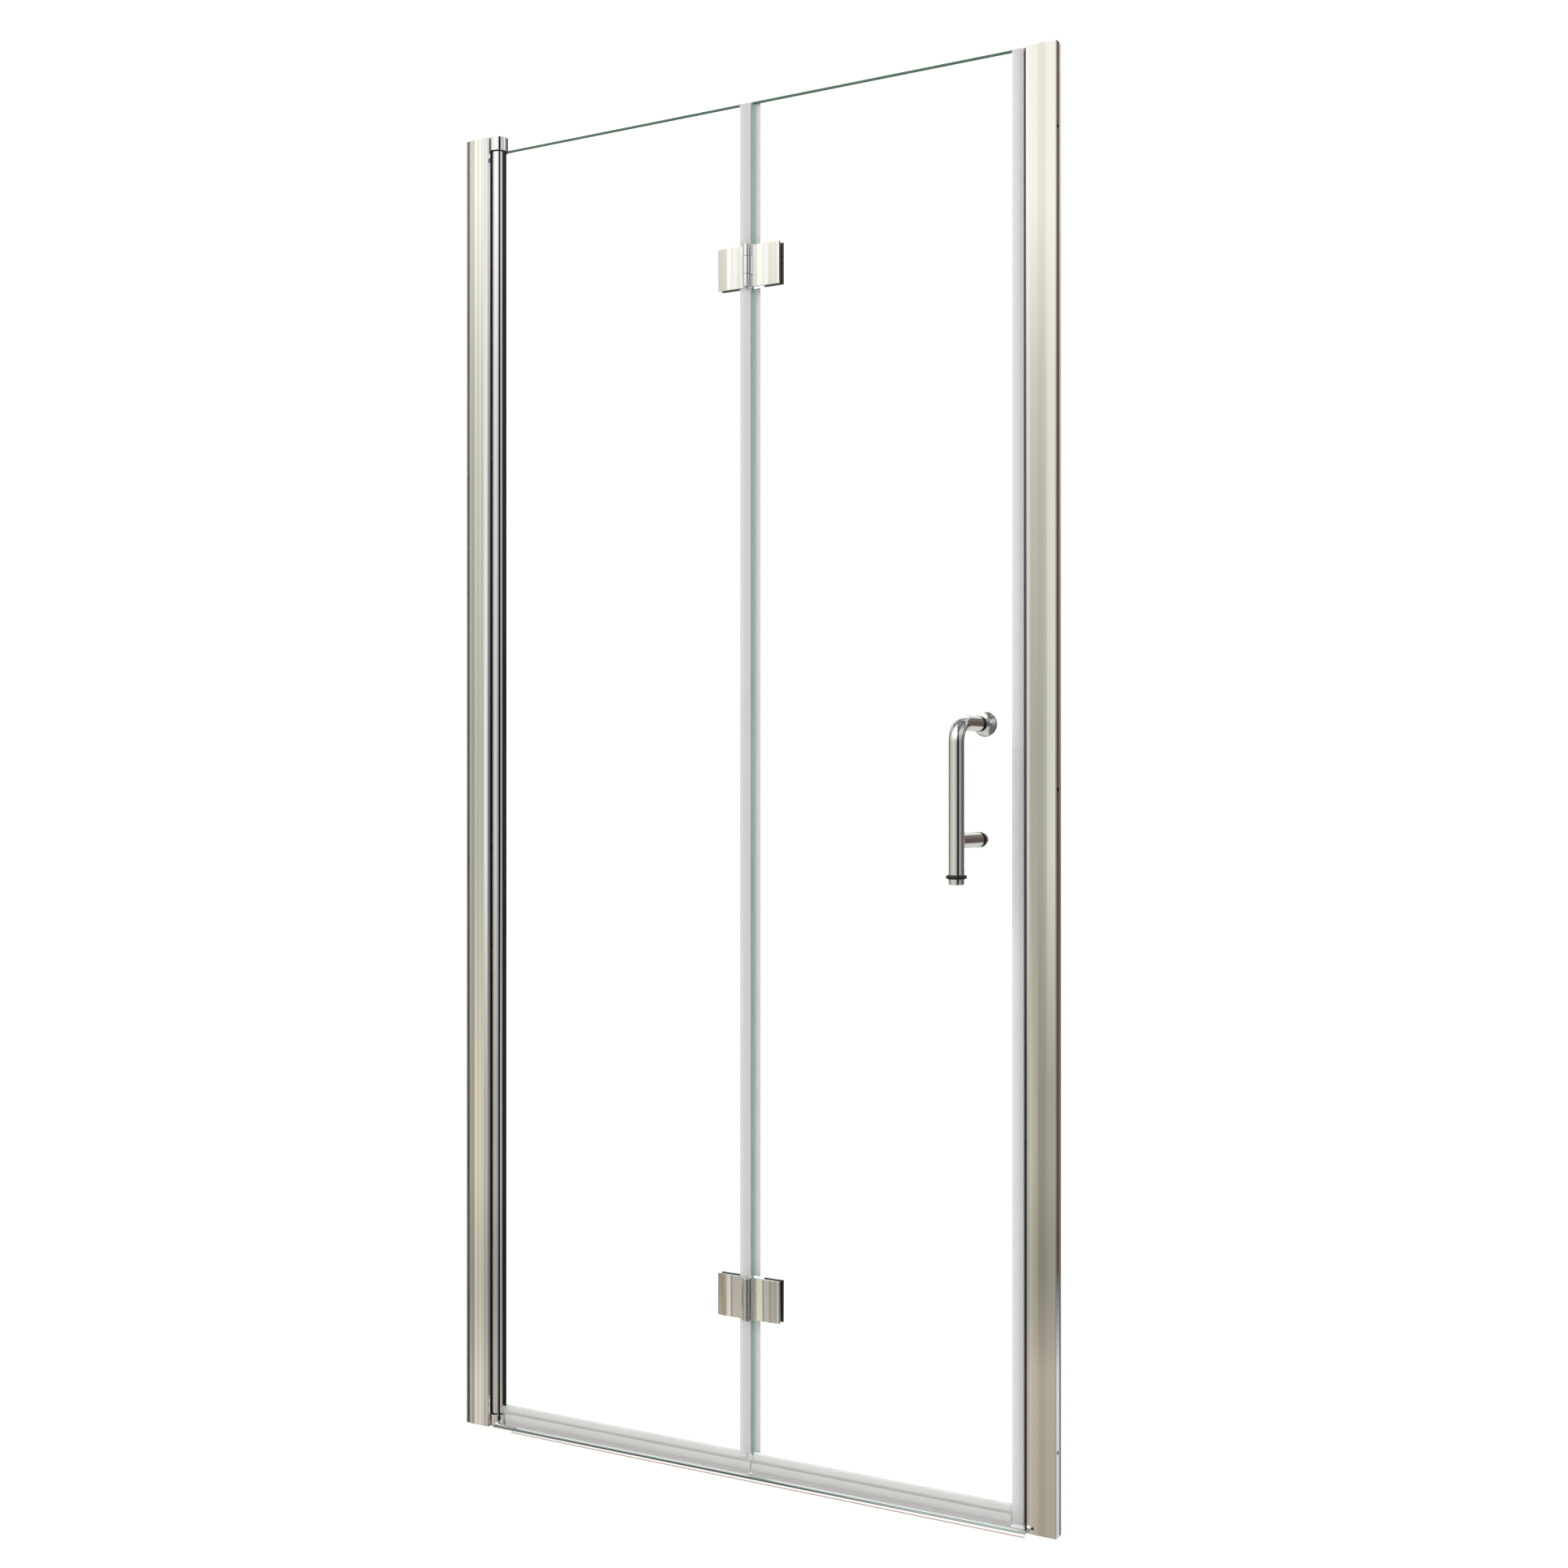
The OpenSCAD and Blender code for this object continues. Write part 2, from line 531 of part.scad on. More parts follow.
module rear_cap() {
  color("silver") translate([hx, gt + 1.22, zlo]) rotate([-90, 0, 0]) difference() {
    rotate_extrude($fn = 72) polygon([[0, 0], [9.4, 0], [9.7, 0.4], [9.7, 3.6], [8.8, 4.6], [7, 5], [0, 5]]);
    translate([0, 0, -1]) cylinder(h = 3.8, r = 3.05);
  }
}

hinge_wall_channel();
hinge_side_profile();
hinge_side_screws();
top_pivot_cap();
bottom_pivot_cap();
pivot_pins();
strike_wall_channel();
strike_profile();
strike_magnet_strip();
strike_side_screws();
threshold_bar();
threshold_end_cap();
pivot_post();
pivot_bushes();
post_gasket();
hinged_glass();
centre_seal();
hinged_sweep_clip();
hinged_sweep_fin();
upper_hinge_left_plate();
lower_hinge_left_plate();
left_back_plates();
left_hinge_gaskets();
left_hinge_screws();
hinge_pins();
folding_glass();
magnetic_seal();
seal_magnet();
seal_foot();
folding_sweep_clip();
folding_sweep_fin();
upper_hinge_right_plate();
lower_hinge_right_plate();
right_back_plates();
right_hinge_gaskets();
right_hinge_screws();
handle_bar();
handle_lower_post();
handle_tip_plug();
handle_ring();
handle_washers();
handle_studs();
rear_knob();
rear_cap();
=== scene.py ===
import json
import math

import bmesh
import bpy
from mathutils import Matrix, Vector


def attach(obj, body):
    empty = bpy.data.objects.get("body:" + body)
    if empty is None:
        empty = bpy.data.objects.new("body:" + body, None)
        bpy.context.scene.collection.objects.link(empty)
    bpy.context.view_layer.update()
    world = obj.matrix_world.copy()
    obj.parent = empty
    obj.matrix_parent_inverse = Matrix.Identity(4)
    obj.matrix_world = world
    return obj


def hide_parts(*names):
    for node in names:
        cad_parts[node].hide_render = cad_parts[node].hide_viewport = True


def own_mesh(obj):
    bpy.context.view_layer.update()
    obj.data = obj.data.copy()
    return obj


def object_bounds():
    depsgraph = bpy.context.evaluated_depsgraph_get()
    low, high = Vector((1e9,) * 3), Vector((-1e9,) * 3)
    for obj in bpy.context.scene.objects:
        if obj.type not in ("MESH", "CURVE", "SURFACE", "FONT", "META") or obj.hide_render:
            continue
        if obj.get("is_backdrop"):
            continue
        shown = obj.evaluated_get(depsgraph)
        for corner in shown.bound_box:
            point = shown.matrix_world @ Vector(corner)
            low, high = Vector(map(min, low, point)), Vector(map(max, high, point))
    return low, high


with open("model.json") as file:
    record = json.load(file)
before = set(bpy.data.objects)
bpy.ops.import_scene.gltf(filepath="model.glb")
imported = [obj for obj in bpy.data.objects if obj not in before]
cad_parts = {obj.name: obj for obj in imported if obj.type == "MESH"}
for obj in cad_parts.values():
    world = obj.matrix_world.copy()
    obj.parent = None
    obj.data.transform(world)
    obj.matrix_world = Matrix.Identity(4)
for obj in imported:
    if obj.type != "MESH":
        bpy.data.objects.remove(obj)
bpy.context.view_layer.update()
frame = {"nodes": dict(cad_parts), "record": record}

MM = 0.001
NODE = frame["nodes"]
BODY = {n: b for b, ns in frame["record"]["behaviour"]["bodies"].items() for n in ns}

# ---- sizes in millimetres, the same as in the CAD source -------------------
DOOR_W, DOOR_H = 900.0, 1850.0
GLASS_TOP, GLASS_BOT = 1831.0, 18.0
GT = 3.0
POST_X, POST_R, CAP_R, CAP_H = 44.0, 11.25, 14.0, 20.0
JAMB_HALF, JAMB_W = 19.0, 38.2
ARC_R, WALL_T = 15.0, 1.6
AXIS_X, AXIS_Y = 464.0, -11.0
LEFT_EDGE, RIGHT_EDGE = 459.0, 467.0
STRIKE_X, STRIKE_HALF = 859.6, 9.0
FREE_EDGE = 850.0
ZU, ZL = 1612.0, 237.0
HINGE_H, HINGE_HALF = 56.0, 47.5
BARREL_R, PIN_R, MID_KNUCKLE = 5.5, 2.0, 24.0
HX, BAR_R, BAR_OUT = 793.5, 9.75, 68.0
HANDLE_Z, HANDLE_ZLO, BEND_R, BAR_LOW = 997.5, 852.5, 24.0, 806.0
SCREW_Z = (104.5, 915.5, 1726.5)


# ============================================================================
#  mesh tools
# ============================================================================
def place(axis, a, b, t):
    """A point of an outline (a, b) at the length t along an axis, in metres."""
    if axis == "Z":
        return Vector((a, b, t)) * MM
    if axis == "X":
        return Vector((t, a, b)) * MM
    return Vector((a, t, b)) * MM


def prism(bm, outer, t0, t1, holes=(), axis="Z"):
    """A closed bar with the given outline and holes."""
    rings = []
    for loop in [outer, *holes]:
        lo = [bm.verts.new(place(axis, a, b, t0)) for a, b in loop]
        hi = [bm.verts.new(place(axis, a, b, t1)) for a, b in loop]
        for i in range(len(loop)):
            j = (i + 1) % len(loop)
            bm.faces.new((lo[i], lo[j], hi[j], hi[i]))
        rings.append((lo, hi))
    for k in (0, 1):
        if holes:
            edges = []
            for ring in rings:
                vs = ring[k]
                edges += [bm.edges.get((vs[i], vs[(i + 1) % len(vs)])) for i in range(len(vs))]
            bmesh.ops.triangle_fill(bm, use_beauty=True, edges=edges)
        else:
            bm.faces.new(rings[0][k])


def sweep(bm, stations, n=72, closed=False):
    """Rings of n points. A station is (centre, u, v, shape): shape is a radius, ("hex", r) or 0 for a pole."""
    rings = []
    for centre, u, v, shape in stations:
        if shape == 0:
            rings.append([bm.verts.new(centre * MM)])
            continue
        ring = []
        for i in range(n):
            t = 2 * math.pi * i / n
            r = shape
            if isinstance(shape, tuple):
                r = shape[1] * math.cos(math.pi / 6) / math.cos((t % (math.pi / 3)) - math.pi / 6)
            ring.append(bm.verts.new((centre + u * (r * math.cos(t)) + v * (r * math.sin(t))) * MM))
        rings.append(ring)
    pairs = list(zip(rings[:-1], rings[1:]))
    if closed:
        pairs.append((rings[-1], rings[0]))
    for a, b in pairs:
        if len(a) == 1 and len(b) == 1:
            continue
        for i in range(n):
            j = (i + 1) % n
            if len(a) == 1:
                bm.faces.new((a[0], b[i], b[j]))
            elif len(b) == 1:
                bm.faces.new((a[i], b[0], a[j]))
            else:
                bm.faces.new((a[i], b[i], b[j], a[j]))


def lathe(bm, profile, origin, axis="Z", n=96, closed=False):
    """A turned body. profile is (radius or ("hex", r), distance along the axis from origin)."""
    o = Vector(origin)
    if axis == "Z":
        w, u, v = Vector((0, 0, 1)), Vector((1, 0, 0)), Vector((0, 1, 0))
    elif axis == "X":
        w, u, v = Vector((1, 0, 0)), Vector((0, 1, 0)), Vector((0, 0, 1))
    else:
        w, u, v = Vector((0, 1, 0)), Vector((0, 0, 1)), Vector((1, 0, 0))
    sweep(bm, [(o + w * t, u, v, r) for r, t in profile], n=n, closed=closed)


def rounded(profile, r, steps=4):
    """Rounds the corners of a profile that are marked with a third value, the corner radius share."""
    out = []
    k = len(profile)
    for i, p in enumerate(profile):
        if len(p) < 3 or i in (0, k - 1):
            out.append((p[0], p[1]))
            continue
        rad = p[2] * r
        a = Vector((profile[i - 1][0] - p[0], profile[i - 1][1] - p[1]))
        b = Vector((profile[i + 1][0] - p[0], profile[i + 1][1] - p[1]))
        rad = min(rad, a.length * 0.49, b.length * 0.49)
        pa = Vector((p[0], p[1])) + a.normalized() * rad
        pb = Vector((p[0], p[1])) + b.normalized() * rad
        c = Vector((p[0], p[1]))
        for s in range(steps + 1):
            t = s / steps
            q = pa * (1 - t) ** 2 + c * (2 * t * (1 - t)) + pb * t * t
            out.append((q.x, q.y))
    return out


def box_bm(bm, a, b):
    prism(bm, [(a[0], a[1]), (b[0], a[1]), (b[0], b[1]), (a[0], b[1])], a[2], b[2])


def to_object(bm, name):
    bmesh.ops.remove_doubles(bm, verts=bm.verts, dist=1e-7)
    bmesh.ops.recalc_face_normals(bm, faces=bm.faces)
    mesh = bpy.data.meshes.new(name)
    bm.to_mesh(mesh)
    bm.free()
    ob = bpy.data.objects.new(name, mesh)
    bpy.context.scene.collection.objects.link(ob)
    return ob


def bake_modifiers(ob):
    dg = bpy.context.evaluated_depsgraph_get()
    mesh = bpy.data.meshes.new_from_object(ob.evaluated_get(dg), depsgraph=dg)
    old = ob.data
    ob.modifiers.clear()
    ob.data = mesh
    mesh.name = ob.name
    bpy.data.meshes.remove(old)
    return ob


def bevel(ob, width, segments=2, angle=38):
    m = ob.modifiers.new("bevel", "BEVEL")
    m.width = width * MM
    m.segments = segments
    m.limit_method = "ANGLE"
    m.angle_limit = math.radians(angle)
    m.miter_outer = "MITER_ARC"
    return bake_modifiers(ob)


def boolean(ob, make, operation="DIFFERENCE"):
    bm = bmesh.new()
    make(bm)
    cutter = to_object(bm, ob.name + "_tool")
    m = ob.modifiers.new("cut", "BOOLEAN")
    m.operation = operation
    m.solver = "EXACT"
    m.object = cutter
    bake_modifiers(ob)
    mesh = cutter.data
    bpy.data.objects.remove(cutter)
    bpy.data.meshes.remove(mesh)
    return ob


def smooth(ob, sharp=34, weighted=True):
    mesh = ob.data
    mesh.polygons.foreach_set("use_smooth", [True] * len(mesh.polygons))
    mesh.set_sharp_from_angle(angle=math.radians(sharp))
    if weighted:
        m = ob.modifiers.new("normals", "WEIGHTED_NORMAL")
        m.mode = "FACE_AREA"
        m.keep_sharp = True
        bake_modifiers(ob)
    return ob


def copy_of(node, name, bevel_mm=0.0, segments=2, sharp=34, angle=38, dissolve=0.4):
    """A fresh mesh with the CAD node's shape: welded, flat parts made whole, edges broken, smooth where it curves."""
    src = NODE[node].data
    bm = bmesh.new()
    vs = [bm.verts.new(v.co) for v in src.vertices]
    for p in src.polygons:
        if len({tuple(round(c, 7) for c in src.vertices[i].co) for i in p.vertices}) > 2:
            try:
                bm.faces.new([vs[i] for i in p.vertices])
            except ValueError:
                pass
    bmesh.ops.remove_doubles(bm, verts=bm.verts, dist=2e-6)
    bmesh.ops.dissolve_limit(bm, angle_limit=math.radians(dissolve), verts=bm.verts, edges=bm.edges, use_dissolve_boundaries=False)
    ob = to_object(bm, name)
    if bevel_mm:
        bevel(ob, bevel_mm, segments, angle)
    return smooth(ob, sharp)


def adopt(ob, node, mats, extra=()):
    """Puts a finished piece on its CAD body in place of its node."""
    if not isinstance(mats, (list, tuple)):
        mats = [mats]
    if len(ob.data.materials) == 0:
        for m in mats:
            ob.data.materials.append(m)
    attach(ob, BODY[node])
    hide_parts(node, *extra)
    return ob


# ============================================================================
#  materials
# ============================================================================
def shader(name):
    m = bpy.data.materials.new(name)
    m.use_nodes = True
    nt = m.node_tree
    nt.nodes.clear()
    return m, nt, nt.nodes.new("ShaderNodeOutputMaterial")


def add(nt, kind, _set=(), **inputs):
    n = nt.nodes.new(kind)
    for k, v in dict(_set).items():
        setattr(n, k, v)
    for k, v in inputs.items():
        key = k.replace("_", " ")
        n.inputs[key if key in n.inputs else k].default_value = v
    return n


def streaks(nt, scale, detail=3.0, rough=0.55, seed=0.0):
    """Noise stretched by a scale on each axis, in features a metre."""
    tc = add(nt, "ShaderNodeTexCoord")
    mp = add(nt, "ShaderNodeMapping")
    mp.inputs["Scale"].default_value = scale
    mp.inputs["Location"].default_value = (seed, seed * 0.7, seed * 1.3)
    nz = add(nt, "ShaderNodeTexNoise", Scale=1.0, Detail=detail, Roughness=rough)
    nt.links.new(tc.outputs["Object"], mp.inputs["Vector"])
    nt.links.new(mp.outputs["Vector"], nz.inputs["Vector"])
    return nz.outputs["Fac"]


def remap(nt, fac, lo, hi, f0=0.3, f1=0.7):
    n = add(nt, "ShaderNodeMapRange")
    n.inputs["From Min"].default_value = f0
    n.inputs["From Max"].default_value = f1
    n.inputs["To Min"].default_value = lo
    n.inputs["To Max"].default_value = hi
    nt.links.new(fac, n.inputs["Value"])
    return n.outputs["Result"]


def tint(nt, fac, a, b, f0=0.3, f1=0.7):
    r = add(nt, "ShaderNodeValToRGB")
    r.color_ramp.elements[0].position = f0
    r.color_ramp.elements[0].color = (*a, 1)
    r.color_ramp.elements[1].position = f1
    r.color_ramp.elements[1].color = (*b, 1)
    nt.links.new(fac, r.inputs["Fac"])
    return r.outputs["Color"]


def bump(nt, height, strength, distance):
    b = add(nt, "ShaderNodeBump", Strength=strength, Distance=distance)
    nt.links.new(height, b.inputs["Height"])
    return b.outputs["Normal"]


def metal(name, lo, hi, rough, scale, strength=0.04, seed=0.0, spots=0.0, metallic=1.0):
    """Polished or satin metal: faint drawing lines along the piece, small changes of polish, hazy patches."""
    m, nt, out = shader(name)
    p = add(nt, "ShaderNodeBsdfPrincipled", Metallic=metallic)
    line = streaks(nt, scale, 4.0, 0.6, seed)
    haze = streaks(nt, (14, 14, 9), 2.0, 0.5, seed + 3)
    nt.links.new(tint(nt, line, lo, hi), p.inputs["Base Color"])
    a = add(nt, "ShaderNodeMath", {"operation": "ADD"})
    nt.links.new(remap(nt, line, -0.15 * rough, 0.25 * rough), a.inputs[0])
    nt.links.new(remap(nt, haze, rough * (1 - spots), rough * (1 + spots)), a.inputs[1])
    nt.links.new(a.outputs[0], p.inputs["Roughness"])
    if strength >= 0.02:
        nt.links.new(bump(nt, line, strength, 0.00002), p.inputs["Normal"])
    nt.links.new(p.outputs[0], out.inputs["Surface"])
    return m


def rubber(name, a, b, rough=0.5, grain=1800, strength=0.25, gloss=0.5):
    m, nt, out = shader(name)
    p = add(nt, "ShaderNodeBsdfPrincipled")
    p.inputs["Specular IOR Level"].default_value = gloss
    g = streaks(nt, (grain, grain, grain), 3.0)
    s = streaks(nt, (260, 260, 6), 2.0, 0.5, 5)
    nt.links.new(tint(nt, s, a, b), p.inputs["Base Color"])
    nt.links.new(remap(nt, g, rough - 0.08, rough + 0.1), p.inputs["Roughness"])
    nt.links.new(bump(nt, g, strength, 0.00006), p.inputs["Normal"])
    nt.links.new(p.outputs[0], out.inputs["Surface"])
    return m


def clear_glass():
    """Float glass seen through its faces: nothing but a faint green cast and the mirror of the room."""
    m, nt, out = shader("glass_face")
    t = add(nt, "ShaderNodeBsdfTransparent")
    g = add(nt, "ShaderNodeBsdfGlossy")
    wipe = streaks(nt, (5, 5, 3), 3.0, 0.6, 11)
    nt.links.new(tint(nt, wipe, (0.975, 0.992, 0.984), (0.985, 0.996, 0.990)), t.inputs["Color"])
    nt.links.new(remap(nt, wipe, 0.004, 0.02), g.inputs["Roughness"])
    w = add(nt, "ShaderNodeLayerWeight", Blend=0.5)
    f = add(nt, "ShaderNodeMath", {"operation": "POWER"})
    f.inputs[1].default_value = 5.0
    nt.links.new(w.outputs["Facing"], f.inputs[0])
    x = add(nt, "ShaderNodeMixShader")
    nt.links.new(remap(nt, f.outputs[0], 0.04, 1.0, 0.0, 1.0), x.inputs[0])
    nt.links.new(t.outputs[0], x.inputs[1])
    nt.links.new(g.outputs[0], x.inputs[2])
    nt.links.new(x.outputs[0], out.inputs["Surface"])
    return m


def glass_edge(name, a, b, see, rough=0.16):
    """Ground edge of the glass, where the light that ran along inside the pane comes out green."""
    m, nt, out = shader(name)
    p = add(nt, "ShaderNodeBsdfPrincipled", IOR=1.5)
    s = streaks(nt, (500, 500, 500), 3.0, 0.6, 2)
    l = streaks(nt, (30, 30, 8), 3.0, 0.6, 4)
    nt.links.new(tint(nt, l, a, b), p.inputs["Base Color"])
    nt.links.new(remap(nt, s, rough, rough + 0.15), p.inputs["Roughness"])
    nt.links.new(bump(nt, s, 0.15, 0.00004), p.inputs["Normal"])
    t = add(nt, "ShaderNodeBsdfTransparent")
    t.inputs["Color"].default_value = (0.55, 0.82, 0.68, 1)
    x = add(nt, "ShaderNodeMixShader")
    nt.links.new(remap(nt, s, see - 0.04, see + 0.04), x.inputs[0])
    nt.links.new(p.outputs[0], x.inputs[1])
    nt.links.new(t.outputs[0], x.inputs[2])
    nt.links.new(x.outputs[0], out.inputs["Surface"])
    return m


def frosted(name, a, b, see, lines=(900, 900, 5), grain=2200, rough=0.3, glow=0.4, dense=None):
    """Frosted soft PVC: partly lets the background through, scatters the rest, with drawing lines and grain.
    dense is a height in metres below which the section is solid and darker."""
    m, nt, out = shader(name)
    g = streaks(nt, (grain, grain, grain), 2.0, 0.6, 7)
    l = streaks(nt, lines, 3.0, 0.55, 8)
    mix = add(nt, "ShaderNodeMath", {"operation": "ADD"})
    nt.links.new(remap(nt, g, 0.1, 0.3), mix.inputs[0])
    nt.links.new(remap(nt, l, 0.1, 0.5), mix.inputs[1])
    colour = tint(nt, mix.outputs[0], a, b, 0.2, 0.8)
    p = add(nt, "ShaderNodeBsdfPrincipled", IOR=1.45)
    tr = add(nt, "ShaderNodeBsdfTranslucent")
    tp = add(nt, "ShaderNodeBsdfTransparent")
    nt.links.new(colour, p.inputs["Base Color"])
    nt.links.new(colour, tr.inputs["Color"])
    nt.links.new(remap(nt, g, rough - 0.06, rough + 0.12), p.inputs["Roughness"])
    body = add(nt, "ShaderNodeMixShader")
    body.inputs[0].default_value = glow
    nt.links.new(p.outputs[0], body.inputs[1])
    nt.links.new(tr.outputs[0], body.inputs[2])
    x = add(nt, "ShaderNodeMixShader")
    clear = remap(nt, l, see - 0.01, see + 0.01)
    if dense is not None:
        tc = add(nt, "ShaderNodeTexCoord")
        sep = add(nt, "ShaderNodeSeparateXYZ")
        nt.links.new(tc.outputs["Object"], sep.inputs[0])
        z = remap(nt, sep.outputs["Z"], dense[1], 1.0, dense[0] - 0.0003, dense[0] + 0.0003)
        k = add(nt, "ShaderNodeMath", {"operation": "MULTIPLY"})
        nt.links.new(clear, k.inputs[0])
        nt.links.new(z, k.inputs[1])
        clear = k.outputs[0]
    nt.links.new(clear, x.inputs[0])
    nt.links.new(body.outputs[0], x.inputs[1])
    nt.links.new(tp.outputs[0], x.inputs[2])
    nt.links.new(x.outputs[0], out.inputs["Surface"])
    return m


def painted_gap_shade_line(m, x1, stops, x0=0.0, waver=0.9, fade=None):
    """A line of painted shade along a front face, standing in for the shade of the gap beside it, over x1 millimetres
    from x0. It wavers a little.
    """
    nt = m.node_tree
    colour = next(n for n in nt.nodes if n.type == "BSDF_PRINCIPLED").inputs["Base Color"]
    src = colour.links[0].from_socket
    tc = add(nt, "ShaderNodeTexCoord")
    sep = add(nt, "ShaderNodeSeparateXYZ")
    nt.links.new(tc.outputs["Object"], sep.inputs[0])
    at = add(nt, "ShaderNodeMath", {"operation": "ADD"})
    nt.links.new(sep.outputs["X"], at.inputs[0])
    nt.links.new(remap(nt, streaks(nt, (1, 1, 4), 2.0, 0.5, 21), -waver * MM, waver * MM), at.inputs[1])
    r = add(nt, "ShaderNodeValToRGB")
    while len(r.color_ramp.elements) < len(stops):
        r.color_ramp.elements.new(0.5)
    for i, (a, c) in enumerate(stops):
        r.color_ramp.elements[i].position = a / x1
        r.color_ramp.elements[i].color = (c, c, c, 1)
    nt.links.new(remap(nt, at.outputs[0], 0.0, 1.0, x0 * MM, (x0 + x1) * MM), r.inputs["Fac"])
    mul = add(nt, "ShaderNodeMix", {"data_type": "RGBA", "blend_type": "MULTIPLY"})
    mul.inputs["Factor"].default_value = 1.0
    nt.links.new(src, mul.inputs[6])
    nt.links.new(r.outputs["Color"], mul.inputs[7])
    nt.links.new(mul.outputs[2], colour)
    if fade:
        nt.links.new(remap(nt, sep.outputs["Z"], 1.0, 0.04, *fade), mul.inputs["Factor"])
    return m


def painted_shade_by_height(m, z0, z1, share):
    """Painted shade towards the floor: the base colour falls to a share of itself from the height z1 down to z0."""
    nt = m.node_tree
    colour = next(n for n in nt.nodes if n.type == "BSDF_PRINCIPLED").inputs["Base Color"]
    src = colour.links[0].from_socket
    tc = add(nt, "ShaderNodeTexCoord")
    sep = add(nt, "ShaderNodeSeparateXYZ")
    nt.links.new(tc.outputs["Object"], sep.inputs[0])
    r = tint(nt, remap(nt, sep.outputs["Z"], 0.0, 1.0, z0, z1), (share,) * 3, (1.0,) * 3, 0.0, 1.0)
    mul = add(nt, "ShaderNodeMix", {"data_type": "RGBA", "blend_type": "MULTIPLY"})
    mul.inputs["Factor"].default_value = 1.0
    nt.links.new(src, mul.inputs[6])
    nt.links.new(r, mul.inputs[7])
    nt.links.new(mul.outputs[2], colour)
    return m


M = {
    "flutes": metal("drawn_flutes", (0.75, 0.75, 0.75), (0.79, 0.79, 0.79), 0.022, (1600, 1600, 3), 0.012, 1, 0.3),
    # the hollow round the post behind the jamb: dark painted shade, darker still towards the floor
    "jamb_hollow_painted_shade": painted_shade_by_height(metal("jamb_hollow_painted_shade", (0.30, 0.30, 0.30), (0.36, 0.36, 0.355), 0.5, (300, 300, 300), 0.05, 6, 0.2), 0.85, 1.85, 0.2),
    "handle": metal("handle_chrome", (0.875, 0.865, 0.84), (0.915, 0.905, 0.88), 0.018, (700, 700, 700), 0.006, 2, 0.35),
    # strike front: a black line of painted shade at its left edge, the shade of the gap by the seal, fading towards the
    # top
    "strike_front": painted_gap_shade_line(metal("strike_front_painted_gap_shade", (0.87, 0.87, 0.87), (0.90, 0.90, 0.90), 0.022, (1600, 1600, 3), 0.012, 1, 0.3), 42, [
        (0, 0.03), (1.25, 0.03), (1.6, 1.0), (42, 1.0)], 859.6, 0.0, (0.55, 1.75)),
    "profile": metal("polished_profile", (0.87, 0.87, 0.87), (0.90, 0.90, 0.90), 0.022, (1600, 1600, 3), 0.012, 1, 0.3),
    "chrome": metal("chrome", (0.87, 0.87, 0.875), (0.91, 0.91, 0.91), 0.018, (700, 700, 700), 0.006, 2, 0.35),
    "sill": metal("polished_sill", (0.89, 0.89, 0.89), (0.93, 0.93, 0.93), 0.035, (3, 1600, 1600), 0.015, 3, 0.3),
    # brown line of painted shade along the front foot of the bar
    "sill_foot": metal("sill_foot_painted_shade", (0.34, 0.28, 0.245), (0.40, 0.33, 0.29), 0.4, (5, 900, 900), 0.015, 12, 0.1, 0.2),
    # teal line of painted reflection along the crest of the bar
    "sill_reflection": metal("sill_teal_painted_reflection", (0.42, 0.66, 0.57), (0.48, 0.72, 0.63), 0.2, (5, 900, 900), 0.015, 13, 0.1, 0.9),
    # inside of the bar: near-black painted shade
    "hollow": metal("sill_hollow_painted_shade", (0.05, 0.05, 0.05), (0.08, 0.08, 0.08), 0.5, (300, 300, 300), 0.05, 6, 0.2),
    "satin": metal("satin_profile", (0.84, 0.83, 0.82), (0.90, 0.89, 0.88), 0.42, (900, 900, 6), 0.015, 9, 0.1, 0.15),
    "channel": metal("mill_channel", (0.62, 0.62, 0.62), (0.72, 0.72, 0.72), 0.3, (1400, 1400, 4), 0.018, 4, 0.25),
    "steel": metal("screw_steel", (0.50, 0.50, 0.51), (0.66, 0.66, 0.67), 0.24, (2500, 300, 2500), 0.1, 5, 0.3),
    "magnet": rubber("magnet_strip", (0.010, 0.009, 0.0085), (0.018, 0.016, 0.015), 0.36, 1500, 0.12),
    "rubber": rubber("black_rubber", (0.002, 0.002, 0.002), (0.005, 0.005, 0.005), 0.45, 1900, 0.1, 0.25),
    "ring": rubber("brown_black_rubber", (0.004, 0.003, 0.0025), (0.009, 0.006, 0.005), 0.22, 1900, 0.08, 0.6),
    "bush": rubber("white_bush", (0.80, 0.80, 0.78), (0.86, 0.86, 0.84), 0.35, 1400, 0.1),
    "glass": clear_glass(),
    "edge_top": glass_edge("glass_edge_ends", (0.030, 0.085, 0.052), (0.045, 0.115, 0.070), 0.05),
    "edge_side": glass_edge("glass_edge_sides", (0.24, 0.45, 0.34), (0.30, 0.52, 0.40), 0.08),
    "seal": frosted("frosted_seal", (0.64, 0.64, 0.635), (0.70, 0.70, 0.695), 0.27, grain=900),
    "seal_mid": frosted("frosted_centre_seal", (0.60, 0.60, 0.595), (0.66, 0.66, 0.655), 0.20, grain=900),
    "sweep": frosted("frosted_sweep", (0.62, 0.61, 0.60), (0.68, 0.67, 0.66), 0.55, lines=(5, 900, 900), grain=900, dense=(0.0180, 0.16)),
    "fin": frosted("soft_fin", (0.62, 0.615, 0.605), (0.68, 0.675, 0.665), 0.14, lines=(5, 900, 900), grain=900),
    # rear flange: satin metal with painted shade towards the floor
    "flange": painted_shade_by_height(metal("satin_flange_painted_shade", (0.56, 0.55, 0.54), (0.62, 0.61, 0.60), 0.45, (900, 900, 6), 0.015, 10, 0.1, 0.25), 0.80, 1.80, 0.22),
    "foot": frosted("soft_foot", (0.90, 0.90, 0.90), (0.95, 0.95, 0.95), 0.04, lines=(300, 300, 300)),
}


